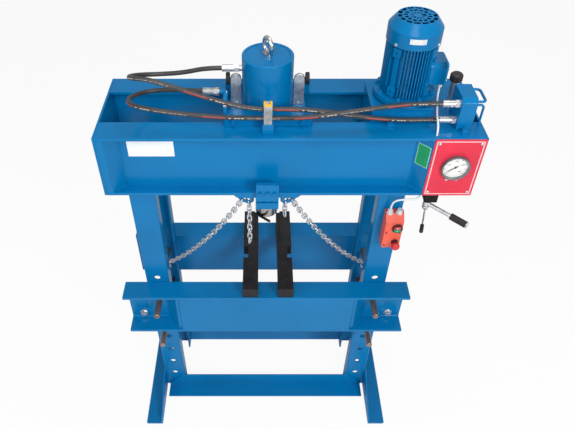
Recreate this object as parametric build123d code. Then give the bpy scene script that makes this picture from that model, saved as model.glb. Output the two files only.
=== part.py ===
from build123d import *
import math
import os

# Workshop press: a welded H frame with a movable hydraulic cylinder, a height-set bed and a power unit.
# X runs to the right, Y to the back, Z up. Lengths are millimetres, measured from the frame's middle.

# Beam: two girders side by side, closed by end plates
beam_left = 577.0
beam_right = 722.0
beam_depth = 380.0
beam_height = 246.0
beam_top = 1616.0
flange_width = 96.0
flange_thick = 11.0
girder_web = 9.0
end_plate = 8.0
corner_strip = 31.0
corner_plate = 5.0
panel_width = 174.0
panel_thick = 3.0
panel_edge = 2.0
panel_corner = 8.0

# Uprights: channels with their webs outside, drilled for the bed pins
upright_middle = 461.0
upright_width = 97.0
upright_depth = 50.0
upright_wall = 8.0
upright_out = 136.0
hole_first = 108.0
hole_pitch = 106.5
hole_count = 8
pin_dia = 26.0
pin_clear = 0.3
pin_length = 520.0
pin_chamfer = 2.5
pin_hole_counts = (4, 6)

# Base: foot rails and floor ties
foot_length = 720.0
foot_flange = 80.0
foot_thick = 8.0
foot_web_height = 130.0
foot_toe_height = 22.0
foot_corner = 8.0
tie_inset = 13.5
tie_height = 90.0
tie_flange = 76.0
tie_thick = 8.0
tie_cut_shares = (0.18, 0.72)

# Bed: two channels outside the uprights, with plates that thicken the webs at the pins
bed_length = 1200.0
bed_top = 830.0
bed_height = 238.0
bed_flange = 88.0
bed_web = 9.0
bed_flange_thick = 13.0
bed_root = 9.0
bed_clear = 1.0
doubler_width = 118.0
doubler_thick = 9.0
doubler_cut_share = 0.3

# Press bars that lie across the bed
bar_width = 64.0
bar_height = 52.0
bar_length = 470.0
bar_front = 222.0
bar_left_middle = -66.0
bar_right_middle = 80.0
bar_notch_length = 66.0
bar_notch_depth = 20.0
bar_notch_back = 22.0
bar_step_depth = 9.0
bar_step_length_share = 0.42
bar_step_width_share = 0.5

# Cylinder and ram
barrel_dia = 172.0
barrel_bore = 140.0
barrel_top = 1816.0
barrel_edge = 3.0
cap_dia = 148.0
cap_height = 30.0
cap_sink = 2.0
gland_height = 35.0
rod_dia = 89.0
nose_level = 1120.0
nose_edge = 4.0
piston_height = 50.0
piston_level = 1542.0
slide_clear = 0.08
latch_length = 76.0
latch_size = 8.0
latch_offset = 20.0
latch_turn = 140.0

# Eye bolt on the cylinder's cap
eye_ring = 49.0
eye_wire = 14.0
eye_collar_dia = 35.0
eye_collar_height = 9.0
eye_turn = -62.0

# Carriage that slides along the beam
saddle_length = 300.0
saddle_depth = 236.0
saddle_height = 40.0
saddle_corner = 6.0
saddle_bar = 34.0
saddle_floor = 12.0
saddle_lip = 5.0
run_clear = 0.3
keel_length = 246.0
keel_thick = 12.0
keel_cut = 16.0
guide_width = 80.0
guide_thick = 20.0
guide_height = 74.0
guide_bar_height = 28.0
guide_gap = 9.0
guide_screw_dia = 9.0
guide_head_dia = 15.0
guide_head_height = 8.0
guide_step_share = 0.32
arm_middle = 107.0
arm_width = 36.0
arm_thick = 12.0
arm_height = 117.0
arm_foot_hole_dia = 10.0
arm_foot_hole_rise = 14.0
arm_axle_dia = 7.0
arm_hole_clear = 0.2
roller_dia = 42.0
roller_thick = 13.0
roller_gap = 2.0
saddle_bolt_dia = 16.0
saddle_bolt_head = 9.0
saddle_bolt_shares = (0.77, 0.45)
hook_middle = 85.0
hook_front = 150.0
hook_thick = 8.0
hook_width = 58.0
hook_drop = 54.0
hook_hole_dia = 18.0
hook_hole_rise = 19.0
hook_tail_shift = 22.0

# Lifting chains from the carriage to the bed pins
chain_wire = 6.0
chain_inner_width = 10.0
chain_pitch = 24.0
chain_clear = 0.4
chain_sag = 48.0
chain_end_y = 40.0
chain_ring_bore = 42.0
chain_ring_rim = 7.0
chain_ring_slack = 2.4
tail_link_counts = (9, 3)

# Hose post and clamp on the carriage
post_width = 37.0
post_thick = 8.0
post_front = 138.0
clamp_width = 27.0
clamp_height = 68.0
clamp_depth = 28.0
clamp_lid = 4.0
clamp_clear = 0.5

# Hydraulic hoses and their fittings
hose_dia = 15.5
clamp_upper_level = 1705.0
clamp_lower_level = 1671.0
clamp_line = 152.0
hose_upper_level = 1766.0
lower_nut_end = (-178.0, -30.0, 1696.0)
lower_heading = (-1.0, 0.22, -0.1)
elbow_dia = 15.0
elbow_run = 22.0
elbow_bend = 13.0
elbow_level = 1690.0
ferrule_dia = 23.0
ferrule_length = 40.0
nut_across = 24.0
nut_length = 16.0
upper_nut_end = 112.0
pump_hose_end = 566.0
pump_hose_line = 120.0
pump_upper_level = 1705.0
pump_lower_level = 1643.0
adapter_dia = 20.0

# Route of each hose between its sleeves, chosen by hand: first and last points are worked out below
hose_upper_route = [
    (-205, 0, 1766), (-285, 15, 1740), (-372, 28, 1727), (-428, -5, 1744), (-452, -63, 1771),
    (-430, -121, 1798), (-375, -156, 1816), (-292, -162, 1791), (-205, -158, 1755), (-118, -152, 1722),
    (-40, -152, 1705), (45, -152, 1705), (110, -143, 1698), (190, -138, 1685), (285, -138, 1669),
    (375, -136, 1656), (455, -128, 1647), (520, -120, 1643)]
hose_lower_route = [
    (-335, 10, 1677), (-395, 14, 1672), (-444, -20, 1680), (-464, -77, 1694), (-445, -131, 1708),
    (-396, -165, 1716), (-310, -168, 1702), (-220, -161, 1686), (-130, -154, 1674), (-40, -152, 1671),
    (45, -152, 1671), (110, -161, 1677), (190, -163, 1689), (280, -156, 1700), (370, -144, 1707),
    (450, -129, 1708), (510, -120, 1705)]

# Oil tank, lid and bell housing in the beam's right part
tank_left = 348.0
tank_step = 552.0
tank_rise = 44.0
tank_right = 690.0
tank_depth = 180.0
tank_height = 210.0
tank_wall = 3.0
lid_thick = 8.0
lid_lip = 3.0
deck_thick = 12.0
deck_over = 8.0
bell_height = 12.0
bell_rim = 6.0
bell_foot_dia = 172.0
bell_bore_dia = 120.0

# Motor
motor_middle = 464.0
motor_flange_dia = 206.0
motor_flange_thick = 12.0
motor_length = 190.0
motor_core = 138.0
motor_fin_dia = 168.0
motor_fin_thick = 3.4
motor_fin_count = 52
lug_width = 26.0
lug_height = 30.0
lug_out = 3.0
lug_low = 6.0
lug_gap = 4.0
lug_pad_width = 16.0
lug_pad_in = 6.0
lug_hole_dia = 8.0
lug_room_turn = 12.0
lug_first_turn = 45.0
motor_shaft_dia = 24.0
cover_dia = 174.0
cover_straight = 48.0
cover_cone = 30.0
cover_top_dia = 128.0
cover_wall = 2.5
cover_lap = 12.0
grille_rings = 3
grille_slots = 14
grille_bar = 5.0
grille_hub_dia = 22.0
fan_dia = 140.0
fan_height = 24.0
fan_blades = 7
fan_blade = 3.0
fan_hub_dia = 40.0
fan_gap = 10.0
box_seat = 60.0
box_width = 60.0
box_round = 18.0
box_depth = 96.0
box_height = 75.0
box_low = 44.0
box_back = 40.0
box_lid = 9.0
box_edge = 5.0

# Valve block, filler and pipes on the lid
block_left = 622.0
block_width = 52.0
block_front = 142.0
block_depth = 100.0
block_height = 104.0
block_cut = 14.0
filler_x = 640.0
filler_y = 16.0
filler_dia = 28.0
filler_height = 82.0
filler_cap_dia = 42.0
filler_cap_height = 28.0
filler_ribs = 12
guard_dia = 9.0
guard_level = 1717.0
guard_reach = 28.0
guard_side_shares = (0.14, 0.9)
guard_bend = 12.0
gauge_pipe_dia = 8.0
gauge_pipe_level = 1692.0
gauge_pipe_reach = 34.0
gauge_pipe_share = 0.34

# Control valve with its two levers under the beam
valve_share = 0.3741176
valve_width = 46.0
valve_front = 184.0
valve_depth = 64.0
valve_height = 44.0
valve_edge = 4.0
spindle_in = 14.0
spindle_y = 170.0
spindle_dia = 10.0
spindle_clear = 0.05
spindle_nut = 17.0
spindle_nut_height = 6.0
hub_dia = 25.0
hub_gap = 0.3
hub_space = 3.0
lever_hub_height = 18.0
lever_dia = 15.0
lever_length = 160.0
lever_grip_dia = 25.0
lever_grip_length = 62.0
lever_end_dia = 22.0
lever_end_thick = 5.0
lever_turn = -41.0
lever_drop = 4.0
grip_clear = 0.1
trip_hub_height = 10.0
trip_dia = 6.0
trip_length = 140.0
trip_grip_dia = 13.0
trip_grip_length = 38.0
trip_turn = -108.0

# Pressure gauge in the panel
gauge_from_end = 86.0
gauge_z = 1502.0
gauge_dia = 96.0
gauge_rim = 4.0
gauge_stand = 14.0
gauge_floor = 2.0
gauge_case_dia = 86.0
gauge_case_depth = 28.0
gauge_clear = 0.2
dial_thick = 1.0
needle_length = 33.0
needle_tail = 11.0
needle_width = 3.0
needle_thick = 1.0
needle_rise = 2.0
needle_hub_dia = 8.0
needle_pin_dia = 3.0
needle_pin_length = 5.0
needle_clear = 0.05
needle_turn = 215.0
glass_thick = 1.5
glass_sink = 1.0

# Switch box on the right front upright
switch_left = 444.0
switch_width = 68.0
switch_depth = 50.0
switch_low = 1097.0
switch_height = 158.0
switch_slope = 26.0
switch_edge = 3.0
switch_gland_dia = 18.0
switch_gland_height = 20.0
switch_gland_nut = 22.0
switch_gland_shares = (0.2, 0.72)
button_x_share = 0.68
button_z_share = 0.66
bezel_dia = 40.0
bezel_thick = 6.0
button_width = 24.0
button_height = 12.0
button_stand = 4.0
button_travel = 3.0
button_gap = 2.0
button_clear = 0.2
stop_z_share = 0.2
stop_dia = 32.0
stop_dome = 16.0
stop_collar_dia = 26.0
stop_collar_height = 12.0
stop_stem_dia = 12.0
stop_travel = 6.0

# Cable from the motor's terminal box down through the beam to the switch box, its route chosen by hand
cable_dia = 7.0
cable_hole_dia = 10.0
cable_x = 556.0
cable_y = 170.0
box_gland_x = 574.0
box_gland_y = 30.0
box_gland_dia = 16.0
box_gland_height = 20.0
box_gland_nut = 20.0
gland_foot = 8.0
cable_route = [
    (574, -30, 1676), (570, -72, 1653), (557, -118, 1661), (556, -153, 1652), (556, -170, 1622),
    (556, -170, 1560), (559, -172, 1480), (556, -170, 1400), (556, -170, 1350), (534, -169, 1330),
    (500, -165, 1328), (472, -162, 1321), (457.6, -161, 1301)]

# One overrun serves every cut, and one share sets the arcs of every tube
overrun = 2.0
arc_share = 0.45

# Places worked out from the sizes above
half_depth = beam_depth / 2
beam_low = beam_top - beam_height
girder_y = half_depth - flange_width / 2
upright_x1 = upright_middle + upright_width / 2
tie_half = upright_x1 - tie_inset
bed_in = upright_out + bed_clear
bed_out = bed_in + bed_flange
bed_low = bed_top - bed_height
web_front = bed_in + bed_web
pin_hole = pin_dia + 2 * pin_clear
keel_top = beam_low - run_clear
keel_low = keel_top - keel_thick
keel_front = half_depth + run_clear
saddle_low = beam_top + run_clear
saddle_top = saddle_low + saddle_height
deck_top = beam_top + deck_thick
tank_top = beam_top + tank_rise
lid_top = tank_top + lid_thick
bell_top = lid_top + bell_height
motor_low = bell_top + motor_flange_thick
motor_top = motor_low + motor_length
cover_low = motor_top - cover_lap
panel_front = half_depth + panel_thick
gauge_x = beam_right - gauge_from_end
valve_left = upright_x1 + (beam_right - upright_x1) * valve_share - valve_width / 2
spindle_x = valve_left + spindle_in
origin_x = (beam_right - bed_length / 2) / 2


# Names a solid or group, moves it to the part's own origin and writes it
def save(node, *shapes):
    solids = [s for shape in shapes for s in shape.solids()]
    moved = [Pos(-origin_x, 0, 0) * s for s in solids]
    shape = moved[0] if len(moved) == 1 else Compound(children=moved)
    shape.label = node
    export_step(shape, f"parts/{node}.step")


# Solid box between two corners
def block(x0, x1, y0, y1, z0, z1):
    return Pos((x0 + x1) / 2, (y0 + y1) / 2, (z0 + z1) / 2) * Box(abs(x1 - x0), abs(y1 - y0), abs(z1 - z0))


# Round bar from a point along a direction
def rod(start, direction, dia, length):
    plane = Plane(origin=start, z_dir=direction)
    return plane * Cylinder(dia / 2, length, align=(Align.CENTER, Align.CENTER, Align.MIN))


# Hexagon bar from a point along a direction
def hex_bar(start, direction, across, length):
    plane = Plane(origin=start, z_dir=direction)
    return plane * extrude(RegularPolygon(across / 2, 6, major_radius=False), length)


# Closed outline through the given points
def outline(points):
    return make_face(Polyline(*points, close=True))


# Mirror image across the plane between front and back
def to_back(shape):
    return mirror(shape, Plane.XZ)


# Mirror image across the plane between left and right
def to_left(shape):
    return mirror(shape, Plane.YZ)


# Tube along a route of straight runs and tangent arcs, each as large as its runs allow
def tube(points, dia, name):
    spots = [Vector(*p) for p in points]
    radii = []
    for before, corner, after in zip(spots, spots[1:], spots[2:]):
        turn = (corner - before).get_angle(after - corner)
        shorter = min((corner - before).length, (after - corner).length)
        radii.append(arc_share * shorter / math.tan(math.radians(turn) / 2))
    path = FilletPolyline(*spots, radius=radii)
    print(name, "length", round(path.length, 1), "radii", [round(r) for r in radii])
    start = Plane(origin=spots[0], z_dir=spots[1] - spots[0])
    solid = sweep(start * Circle(dia / 2), path=path)
    plain_volume = path.length * math.pi * dia ** 2 / 4
    print(name, "volume over section times length", round(solid.volume / plain_volume, 4))
    return solid


os.makedirs("parts", exist_ok=True)


# Girder of I section that runs along the beam
def girder():
    section = Rectangle(flange_width, beam_height)
    side = (flange_width - girder_web) / 2
    for sign in (-1, 1):
        gap = Rectangle(side + overrun, beam_height - 2 * flange_thick)
        section -= Pos(sign * (girder_web + side + overrun) / 2, 0) * gap
    length = beam_left + beam_right - 2 * end_plate
    start = (end_plate - beam_left, -girder_y, beam_top - beam_height / 2)
    plane = Plane(origin=start, x_dir=(0, 1, 0), z_dir=(1, 0, 0))
    return plane * extrude(section, length)


cable_hole_low = (cable_x, -cable_y, beam_low - overrun)
cable_hole = rod(cable_hole_low, (0, 0, 1), cable_hole_dia, beam_height + 2 * overrun)
save("front_beam", girder() - cable_hole)
save("rear_beam", to_back(girder()))

# End plates close the two girders into one beam
save("end_plates",
     block(-beam_left, end_plate - beam_left, -half_depth, half_depth, beam_low, beam_top),
     block(beam_right - end_plate, beam_right, -half_depth, half_depth, beam_low, beam_top))


# Bent plate that closes a girder's outer hollow with a front strip and a slanted wall
def corner_piece(end_x, strip):
    back = girder_y + girder_web / 2
    run = half_depth - back
    t = corner_plate
    shape = [(0, half_depth), (strip, half_depth), (strip + run, back), (strip + run - t, back),
             (strip - t, half_depth - t), (0, half_depth - t)]
    low = beam_low + flange_thick
    face = outline([(end_x - x, -y) for x, y in shape])
    return Pos(0, 0, low) * extrude(face, beam_height - 2 * flange_thick)


# Slanted wall beside the panel's recess
def panel_wall():
    back = girder_y + girder_web / 2
    run = half_depth - back
    x = beam_right - panel_width
    t = corner_plate
    shape = [(x, half_depth), (x - run, back), (x - run + t, back), (x + t, half_depth)]
    face = outline([(px, -py) for px, py in shape])
    return Pos(0, 0, beam_low + flange_thick) * extrude(face, beam_height - 2 * flange_thick)


right_corner = corner_piece(beam_right - end_plate, corner_strip - end_plate)
left_corner = Pos(beam_right - beam_left, 0, 0) * to_left(right_corner)
save("corner_plates", left_corner, to_back(left_corner), to_back(right_corner), panel_wall())


# Channel upright with its web to the front, drilled for the pins
def upright():
    w = upright_wall
    section = Rectangle(upright_width, upright_depth)
    section -= Pos(0, w / 2 + overrun / 2) * Rectangle(upright_width - 2 * w, upright_depth - w + overrun)
    section = fillet(section.vertices().group_by(Axis.Y)[0], w / 2)
    body = Pos(upright_middle, upright_depth / 2 - upright_out, 0) * extrude(section, beam_low)
    for row in range(hole_count):
        level = hole_first + row * hole_pitch
        body -= rod((upright_middle, -upright_out - overrun, level), (0, 1, 0), pin_hole, w + 2 * overrun)
    return body


save("front_uprights", upright(), to_left(upright()))
save("rear_uprights", to_back(upright()), to_left(to_back(upright())))


# Foot rail: a flat flange on the floor and a web that tapers to the toes
def foot_rail():
    half = foot_length / 2
    base = block(upright_x1, upright_x1 + foot_flange, -half, half, 0, foot_thick)
    base = fillet(base.edges().filter_by(Axis.Z).group_by(Axis.X)[-1], foot_corner)
    side = outline([(-half, foot_thick), (half, foot_thick), (half, foot_toe_height),
                    (upright_out, foot_web_height), (-upright_out, foot_web_height),
                    (-half, foot_toe_height)])
    plane = Plane(origin=(upright_x1, 0, 0), x_dir=(0, 1, 0), z_dir=(1, 0, 0))
    return base + plane * extrude(side, foot_thick)


save("foot_rails", foot_rail(), to_left(foot_rail()))


# Angle tie across the uprights' faces, its upper corners cut off
def floor_tie():
    cut_low, cut_in = tie_cut_shares
    reach = upright_width * cut_in
    face = outline([(-tie_half, 0), (tie_half, 0), (tie_half, tie_height * cut_low),
                    (tie_half - reach, tie_height), (reach - tie_half, tie_height),
                    (-tie_half, tie_height * cut_low)])
    plane = Plane(origin=(0, -upright_out, 0), x_dir=(1, 0, 0), z_dir=(0, -1, 0))
    wall = plane * extrude(face, tie_thick)
    ledge = block(-tie_half, tie_half, -upright_out - tie_flange, -upright_out - tie_thick, 0, tie_thick)
    return wall + ledge


save("floor_ties", floor_tie(), to_back(floor_tie()))


# Bed channel with its web against the uprights and its flanges outward
def bed_channel():
    section = Rectangle(bed_flange, bed_height)
    hollow = Rectangle(bed_flange - bed_web + overrun, bed_height - 2 * bed_flange_thick)
    section -= Pos(-(bed_web + overrun) / 2, 0) * hollow
    roots = section.vertices().group_by(Axis.X)[1]
    section = fillet(roots, bed_root)
    left = (-bed_length / 2, -(bed_in + bed_out) / 2, bed_top - bed_height / 2)
    plane = Plane(origin=left, x_dir=(0, 1, 0), z_dir=(1, 0, 0))
    body = plane * extrude(section, bed_length)
    level = hole_first + pin_hole_counts[1] * hole_pitch
    for sign in (-1, 1):
        start = (sign * upright_middle, -web_front - overrun, level)
        body -= rod(start, (0, 1, 0), pin_hole, bed_web + 2 * overrun)
    return body


# Plate on the bed's web round the pin hole, cut off at its inner lower corner
def web_doubler():
    low = bed_low + bed_flange_thick + bed_root
    high = bed_top - bed_flange_thick - bed_root
    x0 = upright_middle - doubler_width / 2
    x1 = upright_middle + doubler_width / 2
    cut = doubler_width * doubler_cut_share
    face = outline([(x0 + cut, low), (x1, low), (x1, high), (x0, high), (x0, low + cut)])
    plane = Plane(origin=(0, -web_front, 0), x_dir=(1, 0, 0), z_dir=(0, -1, 0))
    body = plane * extrude(face, doubler_thick)
    level = hole_first + pin_hole_counts[1] * hole_pitch
    return body - rod((upright_middle, -bed_out, level), (0, 1, 0), pin_hole, bed_flange)


save("front_bed_channel", bed_channel())
save("rear_bed_channel", to_back(bed_channel()))
doubler = web_doubler()
save("bed_web_plates", doubler, to_left(doubler), to_back(doubler), to_left(to_back(doubler)))


# Long pin through bed and uprights, chamfered at both ends
def bed_pin(x, row):
    level = hole_first + row * hole_pitch
    bar = rod((x, -pin_length / 2, level), (0, 1, 0), pin_dia, pin_length)
    return chamfer(bar.edges().filter_by(GeomType.CIRCLE), pin_chamfer)


save("bed_pins", *[bed_pin(s * upright_middle, row) for s in (-1, 1) for row in pin_hole_counts])


# Press bar with a notch in its outer side and a step along its rear top edge
def press_bar(middle, side):
    front = -bar_front
    bar = block(-bar_width / 2, bar_width / 2, front, front + bar_length, bed_top, bed_top + bar_height)
    inner = bar_width / 2 - bar_notch_depth
    notch_front = bar_notch_back - bar_notch_length
    bar -= block(inner, bar_width / 2 + overrun, notch_front, bar_notch_back,
                 bed_top - overrun, bed_top + bar_height + overrun)
    step_back = front + bar_length + overrun
    step_front = front + bar_length * (1 - bar_step_length_share)
    step_side = -bar_width * (1 - bar_step_width_share) / 2
    bar -= block(-bar_width / 2 - overrun, step_side, step_front, step_back,
                 bed_top + bar_height - bar_step_depth, bed_top + bar_height + overrun)
    if side < 0:
        bar = to_left(bar)
    return Pos(middle, 0, 0) * bar


save("press_bars", press_bar(bar_left_middle, -1), press_bar(bar_right_middle, 1))

# Saddle on the beam's top flanges: two bars and a thinner floor, bored for the cylinder
saddle_half = saddle_depth / 2
saddle = block(-saddle_length / 2, saddle_length / 2, -saddle_half, saddle_half, saddle_low, saddle_top)
saddle = chamfer(saddle.edges().filter_by(Axis.Z), saddle_corner)
saddle_bore = barrel_dia + 2 * slide_clear
saddle -= rod((0, 0, saddle_low - overrun), (0, 0, 1), saddle_bore, saddle_height + 2 * overrun)
arm_foot = saddle_low + saddle_floor
floor_x = arm_middle + arm_width / 2 + saddle_lip
gap_y = saddle_half - saddle_bar
saddle -= block(-saddle_length, saddle_length, -gap_y, gap_y, arm_foot, saddle_top + overrun)
for side_x in (-saddle_length - floor_x, floor_x):
    saddle -= block(side_x, side_x + saddle_length, -gap_y, gap_y, saddle_low - overrun, saddle_top)
save("saddle_block", saddle)

# Keel plate under the beam's bottom flanges, with a hole for the ram
keel_corner_x = keel_length / 2
keel_face = outline([(-keel_corner_x, -keel_front + keel_cut), (keel_cut - keel_corner_x, -keel_front),
                     (keel_corner_x - keel_cut, -keel_front), (keel_corner_x, -keel_front + keel_cut),
                     (keel_corner_x, keel_front - keel_cut), (keel_corner_x - keel_cut, keel_front),
                     (keel_cut - keel_corner_x, keel_front), (-keel_corner_x, keel_front - keel_cut)])
keel = Pos(0, 0, keel_low) * extrude(keel_face, keel_thick)
keel -= rod((0, 0, keel_low - overrun), (0, 0, 1), rod_dia + 2 * slide_clear, keel_thick + 2 * overrun)

# Guide block on the keel's front edge, the bar below it and the screws that hold both
guide_low = keel_low
guide_back = -keel_front
guide_face = guide_back - guide_thick
guide = block(-guide_width / 2, guide_width / 2, guide_face, guide_back, guide_low, guide_low + guide_height)
guide_bar_top = guide_low - guide_gap
guide_bar = block(-guide_width / 2, guide_width / 2, guide_face, guide_back,
                  guide_bar_top - guide_bar_height, guide_bar_top)
save("guide_blocks", guide, guide_bar)
carriage_bolts = []
for step in (-1, 0, 1):
    screw_x = step * guide_width * guide_step_share
    head_z = guide_low + guide_height / 2
    carriage_bolts.append(rod((screw_x, guide_face, head_z), (0, -1, 0), guide_head_dia, guide_head_height))
    stud_y = (guide_face + guide_back) / 2
    carriage_bolts.append(rod((screw_x, stud_y, guide_bar_top), (0, 0, 1), guide_screw_dia, guide_gap))

# Hexagon heads on the front and back of the saddle's bars join the guide's screws
bolt_x = saddle_length / 2 * saddle_bolt_shares[0]
bolt_z = saddle_low + saddle_height * saddle_bolt_shares[1]
for sx in (-1, 1):
    for sy in (-1, 1):
        bolt_seat = (sx * bolt_x, sy * saddle_half, bolt_z)
        carriage_bolts.append(hex_bar(bolt_seat, (0, sy, 0), saddle_bolt_dia, saddle_bolt_head))
save("carriage_bolts", *carriage_bolts)


# Arm with a rounded top that stands on the saddle's floor beside the cylinder
def carriage_arm():
    half = arm_width / 2
    straight = arm_height - half
    face = outline([(-half, 0), (half, 0), (half, straight), (-half, straight)])
    face += Pos(0, straight) * Circle(half)
    face -= Pos(0, arm_foot_hole_rise) * Circle(arm_foot_hole_dia / 2)
    plane = Plane(origin=(arm_middle, arm_thick / 2, arm_foot), x_dir=(1, 0, 0), z_dir=(0, -1, 0))
    arm = plane * extrude(face, arm_thick)
    bore = arm_axle_dia + 2 * arm_hole_clear
    hole = rod((arm_middle - arm_width, 0, arm_foot + straight), (1, 0, 0), bore, 2 * arm_width)
    return arm - hole


# Roller on a short axle through the arm's top
def arm_roller():
    level = arm_foot + arm_height - arm_width / 2
    start = arm_middle + arm_width / 2 + roller_gap
    disc = rod((start, 0, level), (1, 0, 0), roller_dia, roller_thick)
    axle = rod((arm_middle - arm_width / 2, 0, level), (1, 0, 0), arm_axle_dia, arm_width + roller_gap)
    return disc + axle


save("carriage_arms", carriage_arm(), to_left(carriage_arm()))
save("arm_rollers", arm_roller(), to_left(arm_roller()))

# Cylinder barrel on the keel, open at the top for its cap
barrel = rod((0, 0, keel_top), (0, 0, 1), barrel_dia, barrel_top - keel_top)
barrel = chamfer(barrel.edges().filter_by(GeomType.CIRCLE).sort_by(Axis.Z)[-1], barrel_edge)
barrel -= rod((0, 0, keel_top - overrun), (0, 0, 1), barrel_bore, barrel_top - keel_top + 2 * overrun)
cap_low = barrel_top - cap_height
barrel -= rod((0, 0, cap_low), (0, 0, 1), cap_dia + 2 * slide_clear, cap_height + overrun)
save("cylinder_barrel", barrel)
save("cylinder_cap", rod((0, 0, cap_low), (0, 0, 1), cap_dia, cap_height - cap_sink))
gland = rod((0, 0, keel_top), (0, 0, 1), barrel_bore - 2 * slide_clear, gland_height)
gland -= rod((0, 0, keel_top - overrun), (0, 0, 1), rod_dia + 2 * slide_clear, gland_height + 2 * overrun)
save("cylinder_gland", gland)

# Ram: piston and rod in one, with the latch bar beside its nose
ram = rod((0, 0, nose_level), (0, 0, 1), rod_dia, piston_level - nose_level)
ram = chamfer(ram.edges().filter_by(GeomType.CIRCLE).sort_by(Axis.Z)[0], nose_edge)
ram += rod((0, 0, piston_level), (0, 0, 1), barrel_bore - 2 * slide_clear, piston_height)
save("ram", ram)
latch_side = rod_dia / 2 + run_clear
latch = block(-latch_length / 2, latch_length / 2, -latch_side - latch_size, -latch_side, 0, latch_size)
save("nose_latch", Rot(0, 0, latch_turn - 180) * Pos(latch_offset, 0, nose_level + nose_edge) * latch)

# Eye bolt: collar and ring turned in one piece
eye_low = barrel_top - cap_sink
eye = rod((0, 0, eye_low), (0, 0, 1), eye_collar_dia, eye_collar_height)
eye_ring_level = eye_low + eye_collar_height + eye_ring / 2
eye += Pos(0, 0, eye_ring_level) * Rot(0, 0, eye_turn) * Rot(90, 0, 0) * Torus(eye_ring / 2, eye_wire / 2)
save("eye_bolt", eye)


# Chain link: a long octagon ring of square wire, lying along local X
def link(inner_length):
    outer_x = inner_length / 2 + chain_wire
    outer_y = chain_inner_width / 2 + chain_wire
    ring = chamfer(Rectangle(2 * outer_x, 2 * outer_y).vertices(), chain_wire)
    hole = chamfer(Rectangle(inner_length, chain_inner_width).vertices(), chain_wire / 4)
    return extrude(ring - hole, chain_wire / 2, both=True)


# Links set end to end along a sagging line, each a quarter turn from the last, the end ones alike
def chain_links(start, end, sag, across):
    def spot(share):
        return start + (end - start) * share + Vector(0, 0, -4 * sag * share * (1 - share))

    steps = 200
    knots = [spot(i / steps) for i in range(steps + 1)]
    reach = [0.0]
    for a, b in zip(knots, knots[1:]):
        reach.append(reach[-1] + (b - a).length)
    count = 2 * round((reach[-1] / chain_pitch - 1) / 2) + 1
    pitch = reach[-1] / count
    links = []
    for i in range(count):
        target = (i + 1 / 2) * pitch
        step = next(k for k, r in enumerate(reach) if r >= target)
        heading = (knots[step] - knots[step - 1]).normalized()
        middle = knots[step - 1] + heading * (target - reach[step - 1])
        normal = heading.cross(across) if i % 2 == 0 else across
        links.append(Plane(origin=middle, x_dir=heading, z_dir=normal) * link(pitch + 2 * chain_clear))
    return links


# Places of the right-hand chain: hook hole, bed pin, level heading between them and the line across it
hook_level = keel_low - hook_drop + hook_hole_rise
hook_hole = Vector(hook_middle, -hook_front, hook_level)
chain_pin = Vector(upright_middle, chain_end_y, hole_first + pin_hole_counts[1] * hole_pitch)
chain_flat = Vector(chain_pin.X - hook_hole.X, chain_pin.Y - hook_hole.Y, 0).normalized()
chain_across = chain_flat.cross(Vector(0, 0, 1))
link_inset = math.sqrt((hook_hole_dia / 2 - chain_clear) ** 2 - (chain_wire / 2) ** 2) + chain_clear


# Ring round the upper bed pin, pulled up the chain's line, and the links from it to the hook
def lifting_chain():
    rise = (hook_hole - chain_pin + Vector(0, 0, -4 * chain_sag)).normalized()
    fall = (chain_pin - hook_hole + Vector(0, 0, -4 * chain_sag)).normalized()
    ring_middle = chain_pin + rise * ((chain_ring_bore - pin_dia) / 2 - chain_ring_slack)
    plane = Plane(origin=ring_middle, x_dir=chain_flat, z_dir=chain_across)
    ring = Circle(chain_ring_bore / 2 + chain_ring_rim) - Circle(chain_ring_bore / 2)
    top = hook_hole + fall * link_inset
    ring_inset = math.sqrt((chain_ring_bore / 2 - chain_clear) ** 2 - (chain_wire / 2) ** 2) + chain_clear
    low = ring_middle + rise * ring_inset
    pin_ring = plane * extrude(ring, chain_wire / 2, both=True)
    return chain_links(top, low, chain_sag, chain_across) + [pin_ring]


# Hook plate under the keel, in line with its chain, with a second hole for the chain's free end
def chain_hook():
    half = hook_width / 2
    cut = hook_width * doubler_cut_share
    low = -hook_hole_rise
    high = keel_low - hook_level
    left = -half - hook_tail_shift / 2
    face = outline([(left + cut, low), (half - cut, low), (half, low + cut), (half, high),
                    (left, high), (left, low + cut)])
    face -= Circle(hook_hole_dia / 2)
    face -= Pos(-hook_tail_shift, 0) * Circle(hook_hole_dia / 2)
    plane = Plane(origin=hook_hole, x_dir=chain_flat, z_dir=chain_across)
    return plane * extrude(face, hook_thick / 2, both=True)


# Free end of the chain that hangs from the hook's second hole
def chain_tail(count):
    top = hook_hole - chain_flat * hook_tail_shift - Vector(0, 0, link_inset)
    return chain_links(top, top - Vector(0, 0, count * chain_pitch), 0, chain_across)


save("left_lifting_chain", *[to_left(s) for s in lifting_chain()])
save("right_lifting_chain", *lifting_chain())
save("keel_plate", keel + chain_hook() + to_left(chain_hook()))
left_tail, right_tail = tail_link_counts
save("chain_tails", *[to_left(s) for s in chain_tail(left_tail)], *chain_tail(right_tail))

# Post on the saddle's front face that carries the hose clamp
clamp_middle = (clamp_upper_level + clamp_lower_level) / 2
clamp_low = clamp_middle - clamp_height / 2
post_face = post_front - post_thick
clamp_face = -post_front - clamp_depth
post_half = post_width / 2
post = block(-post_half, post_half, clamp_face, -saddle_depth / 2, saddle_low, saddle_low + post_thick)
post += block(-post_half, post_half, clamp_face, clamp_face + post_thick, saddle_low, clamp_low)
post += block(-post_half, post_half, clamp_face, -post_face, clamp_low - post_thick, clamp_low)
clamp_half = clamp_width / 2
clamp_top = clamp_low + clamp_height
post += block(-clamp_half, clamp_half, -post_front, -post_face, clamp_low, clamp_top)
save("hose_post", post)

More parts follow.
